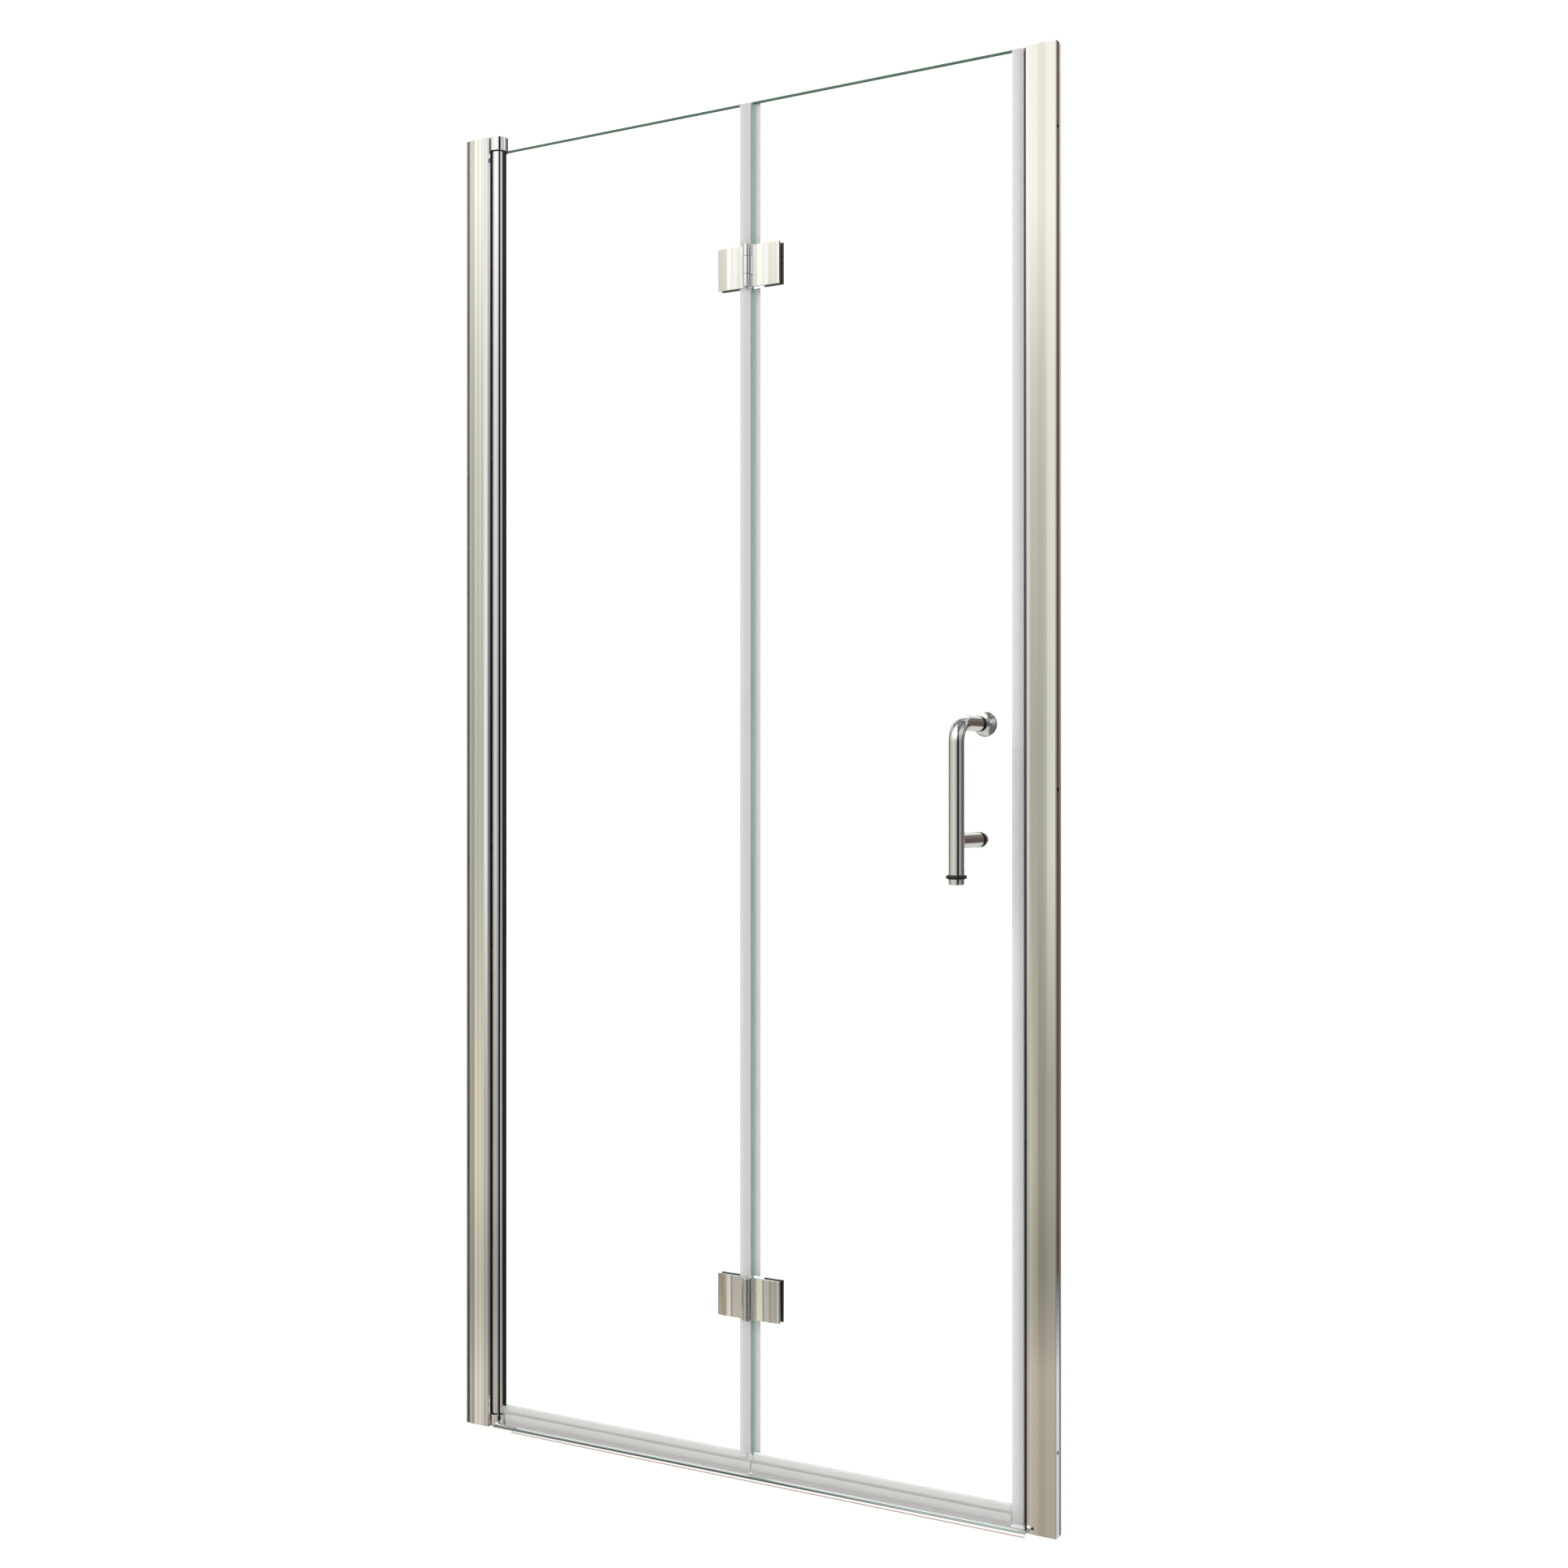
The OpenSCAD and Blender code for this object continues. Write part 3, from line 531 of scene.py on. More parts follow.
# ============================================================================
#  frame body
# ============================================================================
def fall(x):
    """How far the front face of the hinge side profile lies behind its crest."""
    q = 2.3 + (x - 2.3) * 1.05
    ramp = lambda t: min(1.0, max(0.0, t))
    e = max(0.0, q - 32.9)
    return (2.25 * max(0.0, 1 - (q - 2.3) / 5.8) ** 2 + 0.075 * max(0.0, 9.4 - q)
            + 0.33 - 0.075 * (1 - math.cos(math.pi * ramp((q - 9.4) / 6.6)))
            + 0.012 * max(0.0, q - 16)
            + 0.018 * (1 - math.cos(4 * math.pi * ramp((q - 17) / 14.4)))
            + 0.037 * e + 0.0033 * e * e)


def arc(cx, cy, r, a0, a1, n):
    return [(cx + r * math.cos(math.radians(a0 + (a1 - a0) * i / n)),
             cy + r * math.sin(math.radians(a0 + (a1 - a0) * i / n))) for i in range(n + 1)]


def jamb_loop():
    pts = []
    n = 170
    end = JAMB_W - 0.02
    for i in range(n + 1):
        x = 2.3 + (end - 2.3) * i / n
        pts.append((x, -JAMB_HALF + fall(x)))
    # the left edge of the face is turned in
    pts[0] = (2.55, -JAMB_HALF + fall(2.3) + 0.02)
    pts.insert(0, (2.3, -JAMB_HALF + fall(2.3) + 0.35))
    # round corner, slanted right side and the concave side round the post
    y = -JAMB_HALF + fall(JAMB_W)
    pts += [(JAMB_W - 0.07 + 0.67 * math.sin(math.radians(a)), y + 0.70 - 0.67 * math.cos(math.radians(a))) for a in range(9, 76, 6)]
    tip = JAMB_W + 1.43
    a_tip = math.degrees(math.atan2(-math.sqrt(ARC_R ** 2 - (tip - POST_X) ** 2), tip - POST_X))
    pts += arc(POST_X, 0, ARC_R, a_tip, -(360 - math.degrees(math.atan2(12.69, -8.0))), 64)
    pts += [(36, JAMB_HALF - 1), (35.7, JAMB_HALF - 0.3), (35, JAMB_HALF), (2.3, JAMB_HALF), (2.3, JAMB_HALF - WALL_T)]
    pts += [(34.4, JAMB_HALF - WALL_T)]
    pts += arc(POST_X, 0, ARC_R + WALL_T, math.degrees(math.atan2(13.54, -9.6)), 360 + math.degrees(math.atan2(-13.42, -9.78)), 48)
    pts += [(34.2, -JAMB_HALF + 2.6), (2.3, -JAMB_HALF + 2.6)]
    return pts


bm = bmesh.new()
prism(bm, jamb_loop(), 0, DOOR_H)
jamb = to_object(bm, "hinge_side_profile_polished")
bevel(jamb, 0.14, 2, 50)


def jamb_cuts(b):
    box_bm(b, (20, -6.3, DOOR_H + 2 - CAP_H - 0.3), (POST_X, 6.3, DOOR_H + 1))
    box_bm(b, (20, -6.3, -1), (POST_X, 6.3, CAP_H - 3 + 0.3))
    for z in SCREW_Z:
        lathe(b, [(0, JAMB_HALF - 4), (2.2, JAMB_HALF - 4), (2.2, JAMB_HALF + 1), (0, JAMB_HALF + 1)], (14, 0, z), "Y", 32)


boolean(jamb, jamb_cuts)
smooth(jamb, 34)
for m in (M["profile"], M["satin"], M["jamb_hollow_painted_shade"], M["flutes"]):
    jamb.data.materials.append(m)
for p in jamb.data.polygons:
    c = p.center / MM
    if c.y < 2.2 - JAMB_HALF and c.x < JAMB_W + 0.2 and abs(p.normal.z) < 0.5:
        p.material_index = 3
    # the concave round the post: satin at the front, the dark painted shade of the hollow behind
    if abs(math.hypot(c.x - POST_X, c.y) - ARC_R) < 0.12 and abs(p.normal.z) < 0.5 and c.x < JAMB_W + 1.35:
        p.material_index = 1 if c.y < -12.2 else 2
adopt(jamb, "hinge_side_profile", ())

adopt(copy_of("hinge_wall_channel", "hinge_wall_channel_mill", 0.15), "hinge_wall_channel", M["channel"])


def pan_screws(name, x, y0, zs, node):
    """Pan heads with a hexagon socket, on their shanks."""
    b = bmesh.new()
    for z in zs:
        lathe(b, [(0, -8.5), (1.35, -8.5), (1.49, -7.9), (1.49, 0.0), (3.35, 0.0), (3.5, 0.18), (3.44, 0.75), (3.2, 1.25), (2.75, 1.65),
                  (2.2, 1.86), (1.95, 1.9), (("hex", 1.62), 1.88), (("hex", 1.5), 1.76), (("hex", 1.5), 0.62), (0, 0.45)],
              (x, y0, z), "Y", 48)
    ob = to_object(b, name)
    smooth(ob, 32)
    return adopt(ob, node, M["steel"])


pan_screws("hinge_side_screws_turned", 14, JAMB_HALF, SCREW_Z, "hinge_side_screws")


def cap(name, node, z0, h, pin_up):
    b = bmesh.new()
    r, e = CAP_R, 0.75
    bore = 3.03
    if pin_up:
        prof = [(0, z0 + h - 12), (bore, z0 + h - 12), (bore, z0 + h - 0.3), (bore + 0.3, z0 + h)]
        prof += rounded([(bore + 0.3, z0 + h), (r, z0 + h, 1), (r, z0, 1), (0, z0)], e)[1:]
    else:
        prof = rounded([(0, z0 + h), (r, z0 + h, 1), (r, z0, 1), (bore + 0.3, z0)], e)
        prof += [(bore, z0 + 0.3), (bore, z0 + 12), (0, z0 + 12)]
    lathe(b, prof, (POST_X, 0, 0), "Z", 128)
    ob = to_object(b, name)

    def lug(c):
        box_bm(c, (22, -6, z0), (POST_X - 8, 6, z0 + min(h, 18)))

    boolean(ob, lug, "UNION")
    boolean(ob, lambda c: lathe(c, [(0, 21), (2.1, 21), (2.1, 30), (0, 30)], (0, 0, z0 + 8.5), "X", 32))
    smooth(ob, 34)
    return adopt(ob, node, M["chrome"])


cap("top_pivot_cap_turned", "top_pivot_cap", DOOR_H + 2 - CAP_H, CAP_H, False)
cap("bottom_pivot_cap_turned", "bottom_pivot_cap", 0, CAP_H - 3, True)

adopt(copy_of("pivot_pins", "pivot_pins_turned", 0.3), "pivot_pins", M["steel"])
side = copy_of("strike_wall_channel", "strike_wall_channel_mill", 0.12)
for m in (M["profile"], M["flange"]):
    side.data.materials.append(m)
for p in side.data.polygons:
    # faces towards the wall get the flange metal with its painted shade
    if p.center.y > 0.0013:
        p.material_index = 1
adopt(side, "strike_wall_channel", ())
adopt(copy_of("strike_profile", "strike_profile_polished", 0.3, 3, 34, 50), "strike_profile", M["strike_front"])
adopt(copy_of("strike_magnet_strip", "strike_magnet_strip_moulded", 0.45, 3), "strike_magnet_strip", M["magnet"])
pan_screws("strike_side_screws_turned", DOOR_W - 14, STRIKE_HALF, SCREW_Z, "strike_side_screws")
sill = copy_of("threshold_bar", "threshold_bar_polished", 0.25, 2, 40, 45)
for m in (M["sill"], M["hollow"], M["sill_foot"], M["sill_reflection"]):
    sill.data.materials.append(m)
for p in sill.data.polygons:
    # faces of the hollow look down or inwards; they get a near-black painted shade
    c, nrm = p.center / MM, p.normal
    t = (c.y + 24.5) / 20
    if abs(nrm.x) < 0.5 and -23.2 < c.y < -5.4 and c.z < 4.9 and nrm.z < 0.2 and c.z > 0.02:
        p.material_index = 1
    # front foot of the bar: a line of painted shade
    elif c.y < -22.5 and c.z < 1.5 and abs(nrm.x) < 0.5:
        p.material_index = 2
    # a strip on the crest: teal painted reflection
    elif -20.6 < c.y < -19.3 and nrm.z > 0.2:
        p.material_index = 3
adopt(sill, "threshold_bar", ())
adopt(copy_of("threshold_end_cap", "threshold_end_cap_moulded", 0.2, 2, 40, 45), "threshold_end_cap", M["sill"])

# ============================================================================
#  hinged leaf
# ============================================================================
bm = bmesh.new()
a0 = math.degrees(math.asin(4.4 / POST_R))
prism(bm, arc(POST_X, 0, POST_R, a0, 360 - a0, 120) + [(POST_X + 6.4, -4.4), (POST_X + 6.4, 4.4)],
      GLASS_BOT + 0.5, GLASS_TOP, [arc(POST_X, 0, 5.5, 0, 360 - 7.5, 47)])
post = to_object(bm, "pivot_post_polished")
bevel(post, 0.2, 2, 50)
smooth(post, 34)
adopt(post, "pivot_post", M["profile"])

adopt(copy_of("pivot_bushes", "pivot_bushes_moulded", 0.0), "pivot_bushes", M["bush"])
adopt(copy_of("post_gasket", "post_gasket_rubber", 0.25, 2), "post_gasket", M["rubber"])


def pane(node, name):
    ob = copy_of(node, name, 0.0, sharp=20, dissolve=0.2)
    # the green of the ground ends also fills a fine rim of the faces
    b = bmesh.new()
    b.from_mesh(ob.data)
    for z in (GLASS_TOP - 1.5, GLASS_BOT + 0.5):
        bmesh.ops.bisect_plane(b, geom=b.verts[:] + b.edges[:] + b.faces[:], plane_co=(0, 0, z * MM), plane_no=(0, 0, 1))
    b.to_mesh(ob.data)
    b.free()
    for m in (M["glass"], M["edge_side"], M["edge_top"]):
        ob.data.materials.append(m)
    for p in ob.data.polygons:
        n = p.normal
        if abs(n.y) > 0.9:
            p.material_index = 0 if GLASS_BOT + 0.5 < p.center.z / MM < GLASS_TOP - 1.5 else 2
        elif abs(n.z) > 0.9 and p.area > 1e-4:
            p.material_index = 2
        else:
            p.material_index = 1
    return adopt(ob, node, ())


pane("hinged_glass", "hinged_glass_pane")
mid = copy_of("centre_seal", "centre_seal_frosted", 0.18, 2, 40, 30)
for v in mid.data.vertices:
    # its lengths are pushed up to the hinges
    for zc in (ZL, ZU):
        for way in (-1, 1):
            if abs(v.co.z / MM - (zc + way * (HINGE_H / 2 + 1))) < 0.4:
                v.co.z -= way * 0.7 * MM
adopt(mid, "centre_seal", M["seal_mid"])


def fins(node, name, x0, x1):
    """Two soft lips, flush with the faces of the clip."""
    b = bmesh.new()
    for s, low in ((-1, 2.0), (1, 1.0)):
        front, back = [], []
        n = 10
        for i in range(n + 1):
            t = i / n
            z = 8.15 - t * (8.15 - low - 0.12)
            front.append((s * (5.15 - 0.10 * t), z))
            back.append((s * (4.36 + 0.30 * t), z))
        tip = [(s * 4.98, low + 0.01), (s * 4.74, low + 0.01)]
        prism(b, front + tip + back[::-1], x0, x1, (), "X")
    ob = to_object(b, name)
    smooth(ob, 50)
    adopt(ob, node, M["fin"])
    return ob


adopt(copy_of("hinged_sweep_clip", "hinged_sweep_clip_frosted", 0.35, 3, 40, 30), "hinged_sweep_clip", M["sweep"])
fins("hinged_sweep_fin", "hinged_sweep_fin_soft", POST_X + 16, LEFT_EDGE + 6.5)


# ============================================================================
#  glass hinges
# ============================================================================
NOTCH_U = 10.6


def plate_y(u, side):
    """Front face of a plate: slightly bulged, with the faint unevenness that polishing leaves."""
    t = max(0.0, min(1.0, (u - 9) / 3)) * max(0.0, min(1.0, (HINGE_HALF - u) / 3))
    w = 0.014 * math.sin(2 * math.pi * u / 8.6 + side * 0.9) + 0.004 * math.sin(2 * math.pi * u / 4.9 + 1.4 + side)
    edge = max(0.0, u - 35) if side < 0 else max(0.0, 15 - u)
    tilt = 0.018 if side < 0 else -0.0025
    return -6.55 - 0.75 * math.sin(math.pi * (u - 5) / (HINGE_HALF - 5)) ** 2 + tilt * (u - 12) + w * t + 0.0042 * edge ** 2


def front_plate(node, name, zc, side):
    n = 110
    loop = [(0.5, -GT - 0.85), (0.5, -5.9), (2, -7.2), (4.8, -8.7), (6.4, -8.15), (6.9, -6.6)]
    loop += [(9 + (HINGE_HALF - 0.5 - 9) * i / n, plate_y(9 + (HINGE_HALF - 0.5 - 9) * i / n, side)) for i in range(n + 1)]
    loop += [(HINGE_HALF, -6.2), (HINGE_HALF, -GT - 0.85)]
    loop = [(AXIS_X + side * a, b) for a, b in loop]
    hz, kz = HINGE_H / 2, MID_KNUCKLE / 2
    b = bmesh.new()
    prism(b, loop, zc - hz, zc + hz)
    ob = to_object(b, name)
    bevel(ob, 0.3, 3, 50)
    own = [(-hz, -kz - 0.15), (kz + 0.15, hz)] if side < 0 else [(-kz + 0.15, kz - 0.15)]
    other = [(-kz - 0.15, kz + 0.15)] if side < 0 else [(-hz - 1, -kz + 0.15), (kz - 0.15, hz + 1)]

    def knuckles(c):
        for k0, k1 in own:
            lathe(c, rounded([(0, zc + k0), (BARREL_R, zc + k0, 1), (BARREL_R, zc + k1, 1), (0, zc + k1)], 0.35),
                  (AXIS_X, AXIS_Y, 0), "Z", 96)

    def notch(c):
        if side < 0:
            prism(c, [(AXIS_X + a, b) for a, b in ((-NOTCH_U, -12), (1, -12), (1, -3), (-5.5, -3), (-5.6, -4.6), (-NOTCH_U, -6.75))],
                  zc - kz - 2.5, zc + kz + 2.5)
        else:
            for k0, k1 in ((-hz - 1, -kz + 0.15), (kz - 0.15, hz + 1)):
                box_bm(c, (AXIS_X, -12, zc + k0), (AXIS_X + 7.3, -6.9, zc + k1))

    def room(c):
        for k0, k1 in other:
            lathe(c, [(0, zc + k0), (BARREL_R + 0.4, zc + k0), (BARREL_R + 0.4, zc + k1), (0, zc + k1)], (AXIS_X, AXIS_Y, 0), "Z", 96)

    def pin(c):
        lathe(c, [(0, zc - hz - 1), (PIN_R + 0.03, zc - hz - 1), (PIN_R + 0.03, zc + hz + 1), (0, zc + hz + 1)],
              (AXIS_X, AXIS_Y, 0), "Z", 48)
        for k in (-14, 14):
            lathe(c, [(0, -5.8), (2.5, -5.8), (2.5, 0), (0, 0)], (AXIS_X + side * 33, 0, zc + k), "Y", 32)

    boolean(ob, notch)
    boolean(ob, room)
    boolean(ob, knuckles, "UNION")
    boolean(ob, pin)
    smooth(ob, 34)
    return adopt(ob, node, M["chrome"])


front_plate("upper_hinge_left_plate", "upper_hinge_left_plate_chrome", ZU, -1)
front_plate("lower_hinge_left_plate", "lower_hinge_left_plate_chrome", ZL, -1)
front_plate("upper_hinge_right_plate", "upper_hinge_right_plate_chrome", ZU, 1)
front_plate("lower_hinge_right_plate", "lower_hinge_right_plate_chrome", ZL, 1)


def back_plates(node, name, side):
    b = bmesh.new()
    hz = HINGE_H / 2
    for zc in (ZU, ZL):
        loop = [(18.5, GT + 0.85), (HINGE_HALF, GT + 0.85), (HINGE_HALF, GT + 3.2), (HINGE_HALF - 0.8, GT + 4), (19.3, GT + 4), (18.5, GT + 3.2)]
        prism(b, [(AXIS_X + side * a, c) for a, c in loop], zc - hz, zc + hz)
    ob = to_object(b, name)
    bevel(ob, 0.3, 3, 50)

    def holes(c):
        for zc in (ZU, ZL):
            for k in (-14, 14):
                lathe(c, [(0, GT - 1), (2.6, GT - 1), (2.6, GT + 1.9), (4.8, GT + 1.9), (4.8, GT + 6), (0, GT + 6)],
                      (AXIS_X + side * 33, 0, zc + k), "Y", 64)

    boolean(ob, holes)
    smooth(ob, 34)
    return adopt(ob, node, M["chrome"])


def hinge_screws(node, name, side):
    b = bmesh.new()
    for zc in (ZU, ZL):
        for k in (-14, 14):
            lathe(b, [(0, -5.6), (2.2, -5.6), (2.45, -5.3), (2.45, GT + 1.96), (4.45, GT + 1.96), (4.6, GT + 2.1), (4.6, GT + 3.2),
                      (4.45, GT + 3.5), (4.1, GT + 3.7), (2.7, GT + 3.7), (("hex", 2.42), GT + 3.68), (("hex", 2.3), GT + 3.55),
                      (("hex", 2.3), GT + 2.4), (0, GT + 2.2)], (AXIS_X + side * 33, 0, zc + k), "Y", 48)
    ob = to_object(b, name)
    smooth(ob, 32)
    return adopt(ob, node, M["steel"])


back_plates("left_back_plates", "left_back_plates_chrome", -1)
back_plates("right_back_plates", "right_back_plates_chrome", 1)
hinge_screws("left_hinge_screws", "left_hinge_screws_turned", -1)
hinge_screws("right_hinge_screws", "right_hinge_screws_turned", 1)
adopt(copy_of("left_hinge_gaskets", "left_hinge_gaskets_rubber", 0.0), "left_hinge_gaskets", M["rubber"])
adopt(copy_of("right_hinge_gaskets", "right_hinge_gaskets_rubber", 0.0), "right_hinge_gaskets", M["rubber"])

bm = bmesh.new()
for zc in (ZU, ZL):
    lathe(bm, rounded([(0, zc - HINGE_H / 2 + 0.4), (PIN_R, zc - HINGE_H / 2 + 0.4, 1), (PIN_R, zc + HINGE_H / 2 - 0.4, 1), (0, zc + HINGE_H / 2 - 0.4)], 0.4),
          (AXIS_X, AXIS_Y, 0), "Z", 48)
ob = to_object(bm, "hinge_pins_turned")
smooth(ob, 34)
adopt(ob, "hinge_pins", M["steel"])

# ============================================================================
#  folding leaf
# ============================================================================
pane("folding_glass", "folding_glass_pane")
adopt(copy_of("magnetic_seal", "magnetic_seal_frosted", 0.25, 3, 40, 30), "magnetic_seal", M["seal"])
adopt(copy_of("seal_magnet", "seal_magnet_strip", 0.2), "seal_magnet", M["magnet"])
adopt(copy_of("folding_sweep_clip", "folding_sweep_clip_frosted", 0.35, 3, 40, 30), "folding_sweep_clip", M["sweep"])
fin = fins("folding_sweep_fin", "folding_sweep_fin_soft", RIGHT_EDGE + 0.4, FREE_EDGE - 10.6)
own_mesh(fin)
foot = adopt(copy_of("seal_foot", "seal_foot_soft", 0.5, 3), "seal_foot", M["foot"])
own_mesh(foot)

# ---- handle ----------------------------------------------------------------
X, Y, Z = Vector((1, 0, 0)), Vector((0, 1, 0)), Vector((0, 0, 1))


def bar_at(s):
    """Centre and frame of the bar at the length s from its lower end."""
    run = HANDLE_Z - BEND_R - BAR_LOW
    bend = BEND_R * math.pi / 2
    if s <= run:
        return Vector((HX, -BAR_OUT, BAR_LOW + s)), X, Y
    if s <= run + bend:
        a = (s - run) / BEND_R
        c = Vector((HX, -BAR_OUT + BEND_R * (1 - math.cos(a)), HANDLE_Z - BEND_R + BEND_R * math.sin(a)))
        return c, X, Y * math.cos(a) - Z * math.sin(a)
    return Vector((HX, -BAR_OUT + BEND_R + (s - run - bend), HANDLE_Z)), X, -Z


run = HANDLE_Z - BEND_R - BAR_LOW
bend = BEND_R * math.pi / 2
total = run + bend + (BAR_OUT - BEND_R - GT - 2.12)
stations = [(12, 0), (12, 8.25), (0.15, 8.25), (0, 8.4), (0, 9.5), (0.25, BAR_R)]
stations += [(run * i / 8, BAR_R) for i in range(1, 9)]
stations += [(run + bend * i / 32, BAR_R) for i in range(1, 33)]
stations += [(total - 0.35, BAR_R), (total - 0.1, BAR_R - 0.1), (total, BAR_R - 0.35), (total, 3.1), (total - 16, 3.1), (total - 16, 0)]
bm = bmesh.new()
sweep(bm, [(*bar_at(s), r) for s, r in stations], n=96)
ob = to_object(bm, "handle_bar_chrome")
smooth(ob, 34)
adopt(ob, "handle_bar", M["handle"])

bm = bmesh.new()
lathe(bm, [(0, -BAR_OUT + 4), (BAR_R - 0.05, -BAR_OUT + 4), (BAR_R - 0.05, -GT - 2.5), (BAR_R - 0.15, -GT - 2.22), (BAR_R - 0.4, -GT - 2.12),
           (3.1, -GT - 2.12), (3.1, -21), (0, -21)], (HX, 0, HANDLE_ZLO), "Y", 96)
ob = to_object(bm, "handle_lower_post_chrome")
boolean(ob, lambda c: lathe(c, [(0, HANDLE_ZLO - 14), (BAR_R + 0.02, HANDLE_ZLO - 14), (BAR_R + 0.02, HANDLE_ZLO + 14), (0, HANDLE_ZLO + 14)],
                            (HX, -BAR_OUT, 0), "Z", 96))
smooth(ob, 34)
adopt(ob, "handle_lower_post", M["handle"])

bm = bmesh.new()
lathe(bm, rounded([(0, BAR_LOW - 7), (BAR_R - 0.1, BAR_LOW - 7, 1), (BAR_R - 0.1, BAR_LOW - 0.02, 0.4), (BAR_R - 1.52, BAR_LOW - 0.02), (BAR_R - 1.52, BAR_LOW + 9, 0.5), (0, BAR_LOW + 9)], 0.9),
      (HX, -BAR_OUT, 0), "Z", 96)
ob = to_object(bm, "handle_tip_plug_chrome")
smooth(ob, 34)
adopt(ob, "handle_tip_plug", M["handle"])

bm = bmesh.new()
ring_c, ring_r, inner = BAR_R + 0.59, 2.74, BAR_R + 0.02
half = math.degrees(math.acos((inner - ring_c) / ring_r))
lathe(bm, [(max(inner, ring_c + ring_r * math.cos(math.radians(a))), BAR_LOW + 2.6 + ring_r * math.sin(math.radians(a)))
           for a in [-half + 2 * half * i / 28 for i in range(29)]], (HX, -BAR_OUT, 0), "Z", 96, closed=True)
ob = to_object(bm, "handle_ring_rubber")
smooth(ob, 50)
adopt(ob, "handle_ring", M["ring"])

bm = bmesh.new()
for z in (HANDLE_Z, HANDLE_ZLO):
    lathe(bm, rounded([(3.2, -GT - 0.02), (BAR_R + 0.2, -GT - 0.02, 1), (BAR_R + 0.2, -GT - 2.08, 1), (3.2, -GT - 2.08)], 0.4), (HX, 0, z), "Y", 96, closed=True)
    lathe(bm, rounded([(3.2, GT + 0.02), (9, GT + 0.02, 1), (9, GT + 1.2, 1), (3.2, GT + 1.2)], 0.4), (HX, 0, z), "Y", 96, closed=True)
ob = to_object(bm, "handle_washers_rubber")
smooth(ob, 40)
adopt(ob, "handle_washers", M["rubber"])

bm = bmesh.new()
for z in (HANDLE_Z, HANDLE_ZLO):
    lathe(bm, [(0, -20), (2.6, -20), (3, -19.6), (3, GT + 3.0), (2.6, GT + 3.4), (0, GT + 3.4)], (HX, 0, z), "Y", 48)
ob = to_object(bm, "handle_studs_turned")
smooth(ob, 34)
adopt(ob, "handle_studs", M["steel"])

bm = bmesh.new()
k0 = GT + 1.22
prof = [(0, k0 + 7), (3.05, k0 + 7), (3.05, k0)]
prof += rounded([(3.05, k0), (10, k0, 1), (10, k0 + 3)], 0.5)[1:]
prof += [(10 + 6 * (i / 48) ** 1.9, k0 + 3 + 13 * i / 48) for i in range(1, 49)]
prof += rounded([(16, k0 + 16), (16, k0 + 17.99, 1), (0, k0 + 17.99)], 0.9, 8)[1:]
lathe(bm, prof, (HX, 0, HANDLE_Z), "Y", 128)
ob = to_object(bm, "rear_knob_chrome")
smooth(ob, 34)
adopt(ob, "rear_knob", M["handle"])

bm = bmesh.new()
prof = [(0, k0 + 2.8), (3.05, k0 + 2.8), (3.05, k0)]
prof += rounded([(3.05, k0), (9.7, k0, 0.3), (9.7, k0 + 5, 1), (0, k0 + 5)], 1.6, 8)[1:]
lathe(bm, prof, (HX, 0, HANDLE_ZLO), "Y", 96)
ob = to_object(bm, "rear_cap_chrome")
smooth(ob, 34)
adopt(ob, "rear_cap", M["handle"])

# ============================================================================
#  floor, light and camera
# ============================================================================
bm = bmesh.new()
n = 24
grid = [[bm.verts.new((-3.5 + 8 * i / n, -4 + 8 * j / n, -0.0003)) for j in range(n + 1)] for i in range(n + 1)]
for i in range(n):
    for j in range(n):
        bm.faces.new((grid[i][j], grid[i + 1][j], grid[i + 1][j + 1], grid[i][j + 1]))
floor = to_object(bm, "floor")
m, nt, out = shader("pale_floor")
d = add(nt, "ShaderNodeBsdfDiffuse")
s = streaks(nt, (40, 40, 40), 3.0)
nt.links.new(tint(nt, s, (0.28, 0.28, 0.28), (0.30, 0.30, 0.30)), d.inputs["Color"])
e = add(nt, "ShaderNodeEmission", Strength=1.15)
both = add(nt, "ShaderNodeAddShader")
nt.links.new(d.outputs[0], both.inputs[0])
nt.links.new(e.outputs[0], both.inputs[1])
nt.links.new(both.outputs[0], out.inputs["Surface"])
floor.data.materials.append(m)
floor.visible_glossy = False
floor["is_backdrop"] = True

# The room that the metal mirrors: white ceiling light, light grey walls, one dark upright to the right of the camera,
# and a warm floor far below. The camera itself sees plain white.
world = bpy.data.worlds.new("studio")
bpy.context.scene.world = world
world.use_nodes = True
nt = world.node_tree
nt.nodes.clear()
out = nt.nodes.new("ShaderNodeOutputWorld")
tc = add(nt, "ShaderNodeTexCoord")
sep = add(nt, "ShaderNodeSeparateXYZ")
nt.links.new(tc.outputs["Generated"], sep.inputs[0])
neg = add(nt, "ShaderNodeMath", {"operation": "MULTIPLY"})
neg.inputs[1].default_value = -1.0
nt.links.new(sep.outputs["Y"], neg.inputs[0])
az = add(nt, "ShaderNodeMath", {"operation": "ARCTAN2"})
nt.links.new(sep.outputs["X"], az.inputs[0])
nt.links.new(neg.outputs[0], az.inputs[1])
el = add(nt, "ShaderNodeMath", {"operation": "ARCSINE"})
nt.links.new(sep.outputs["Z"], el.inputs[0])


def ramp(value, lo, hi, stops):
    """A brightness or colour over an angle in degrees."""
    mr = add(nt, "ShaderNodeMapRange")
    mr.inputs["From Min"].default_value = math.radians(lo)
    mr.inputs["From Max"].default_value = math.radians(hi)
    nt.links.new(value, mr.inputs["Value"])
    r = add(nt, "ShaderNodeValToRGB")
    r.color_ramp.interpolation = "LINEAR"
    while len(r.color_ramp.elements) < len(stops):
        r.color_ramp.elements.new(0.5)
    for i, (a, c) in enumerate(stops):
        r.color_ramp.elements[i].position = (a - lo) / (hi - lo)
        c = (c, c, c) if isinstance(c, float) else c
        r.color_ramp.elements[i].color = (*c, 1)
    nt.links.new(mr.outputs["Result"], r.inputs["Fac"])
    return r.outputs["Color"]


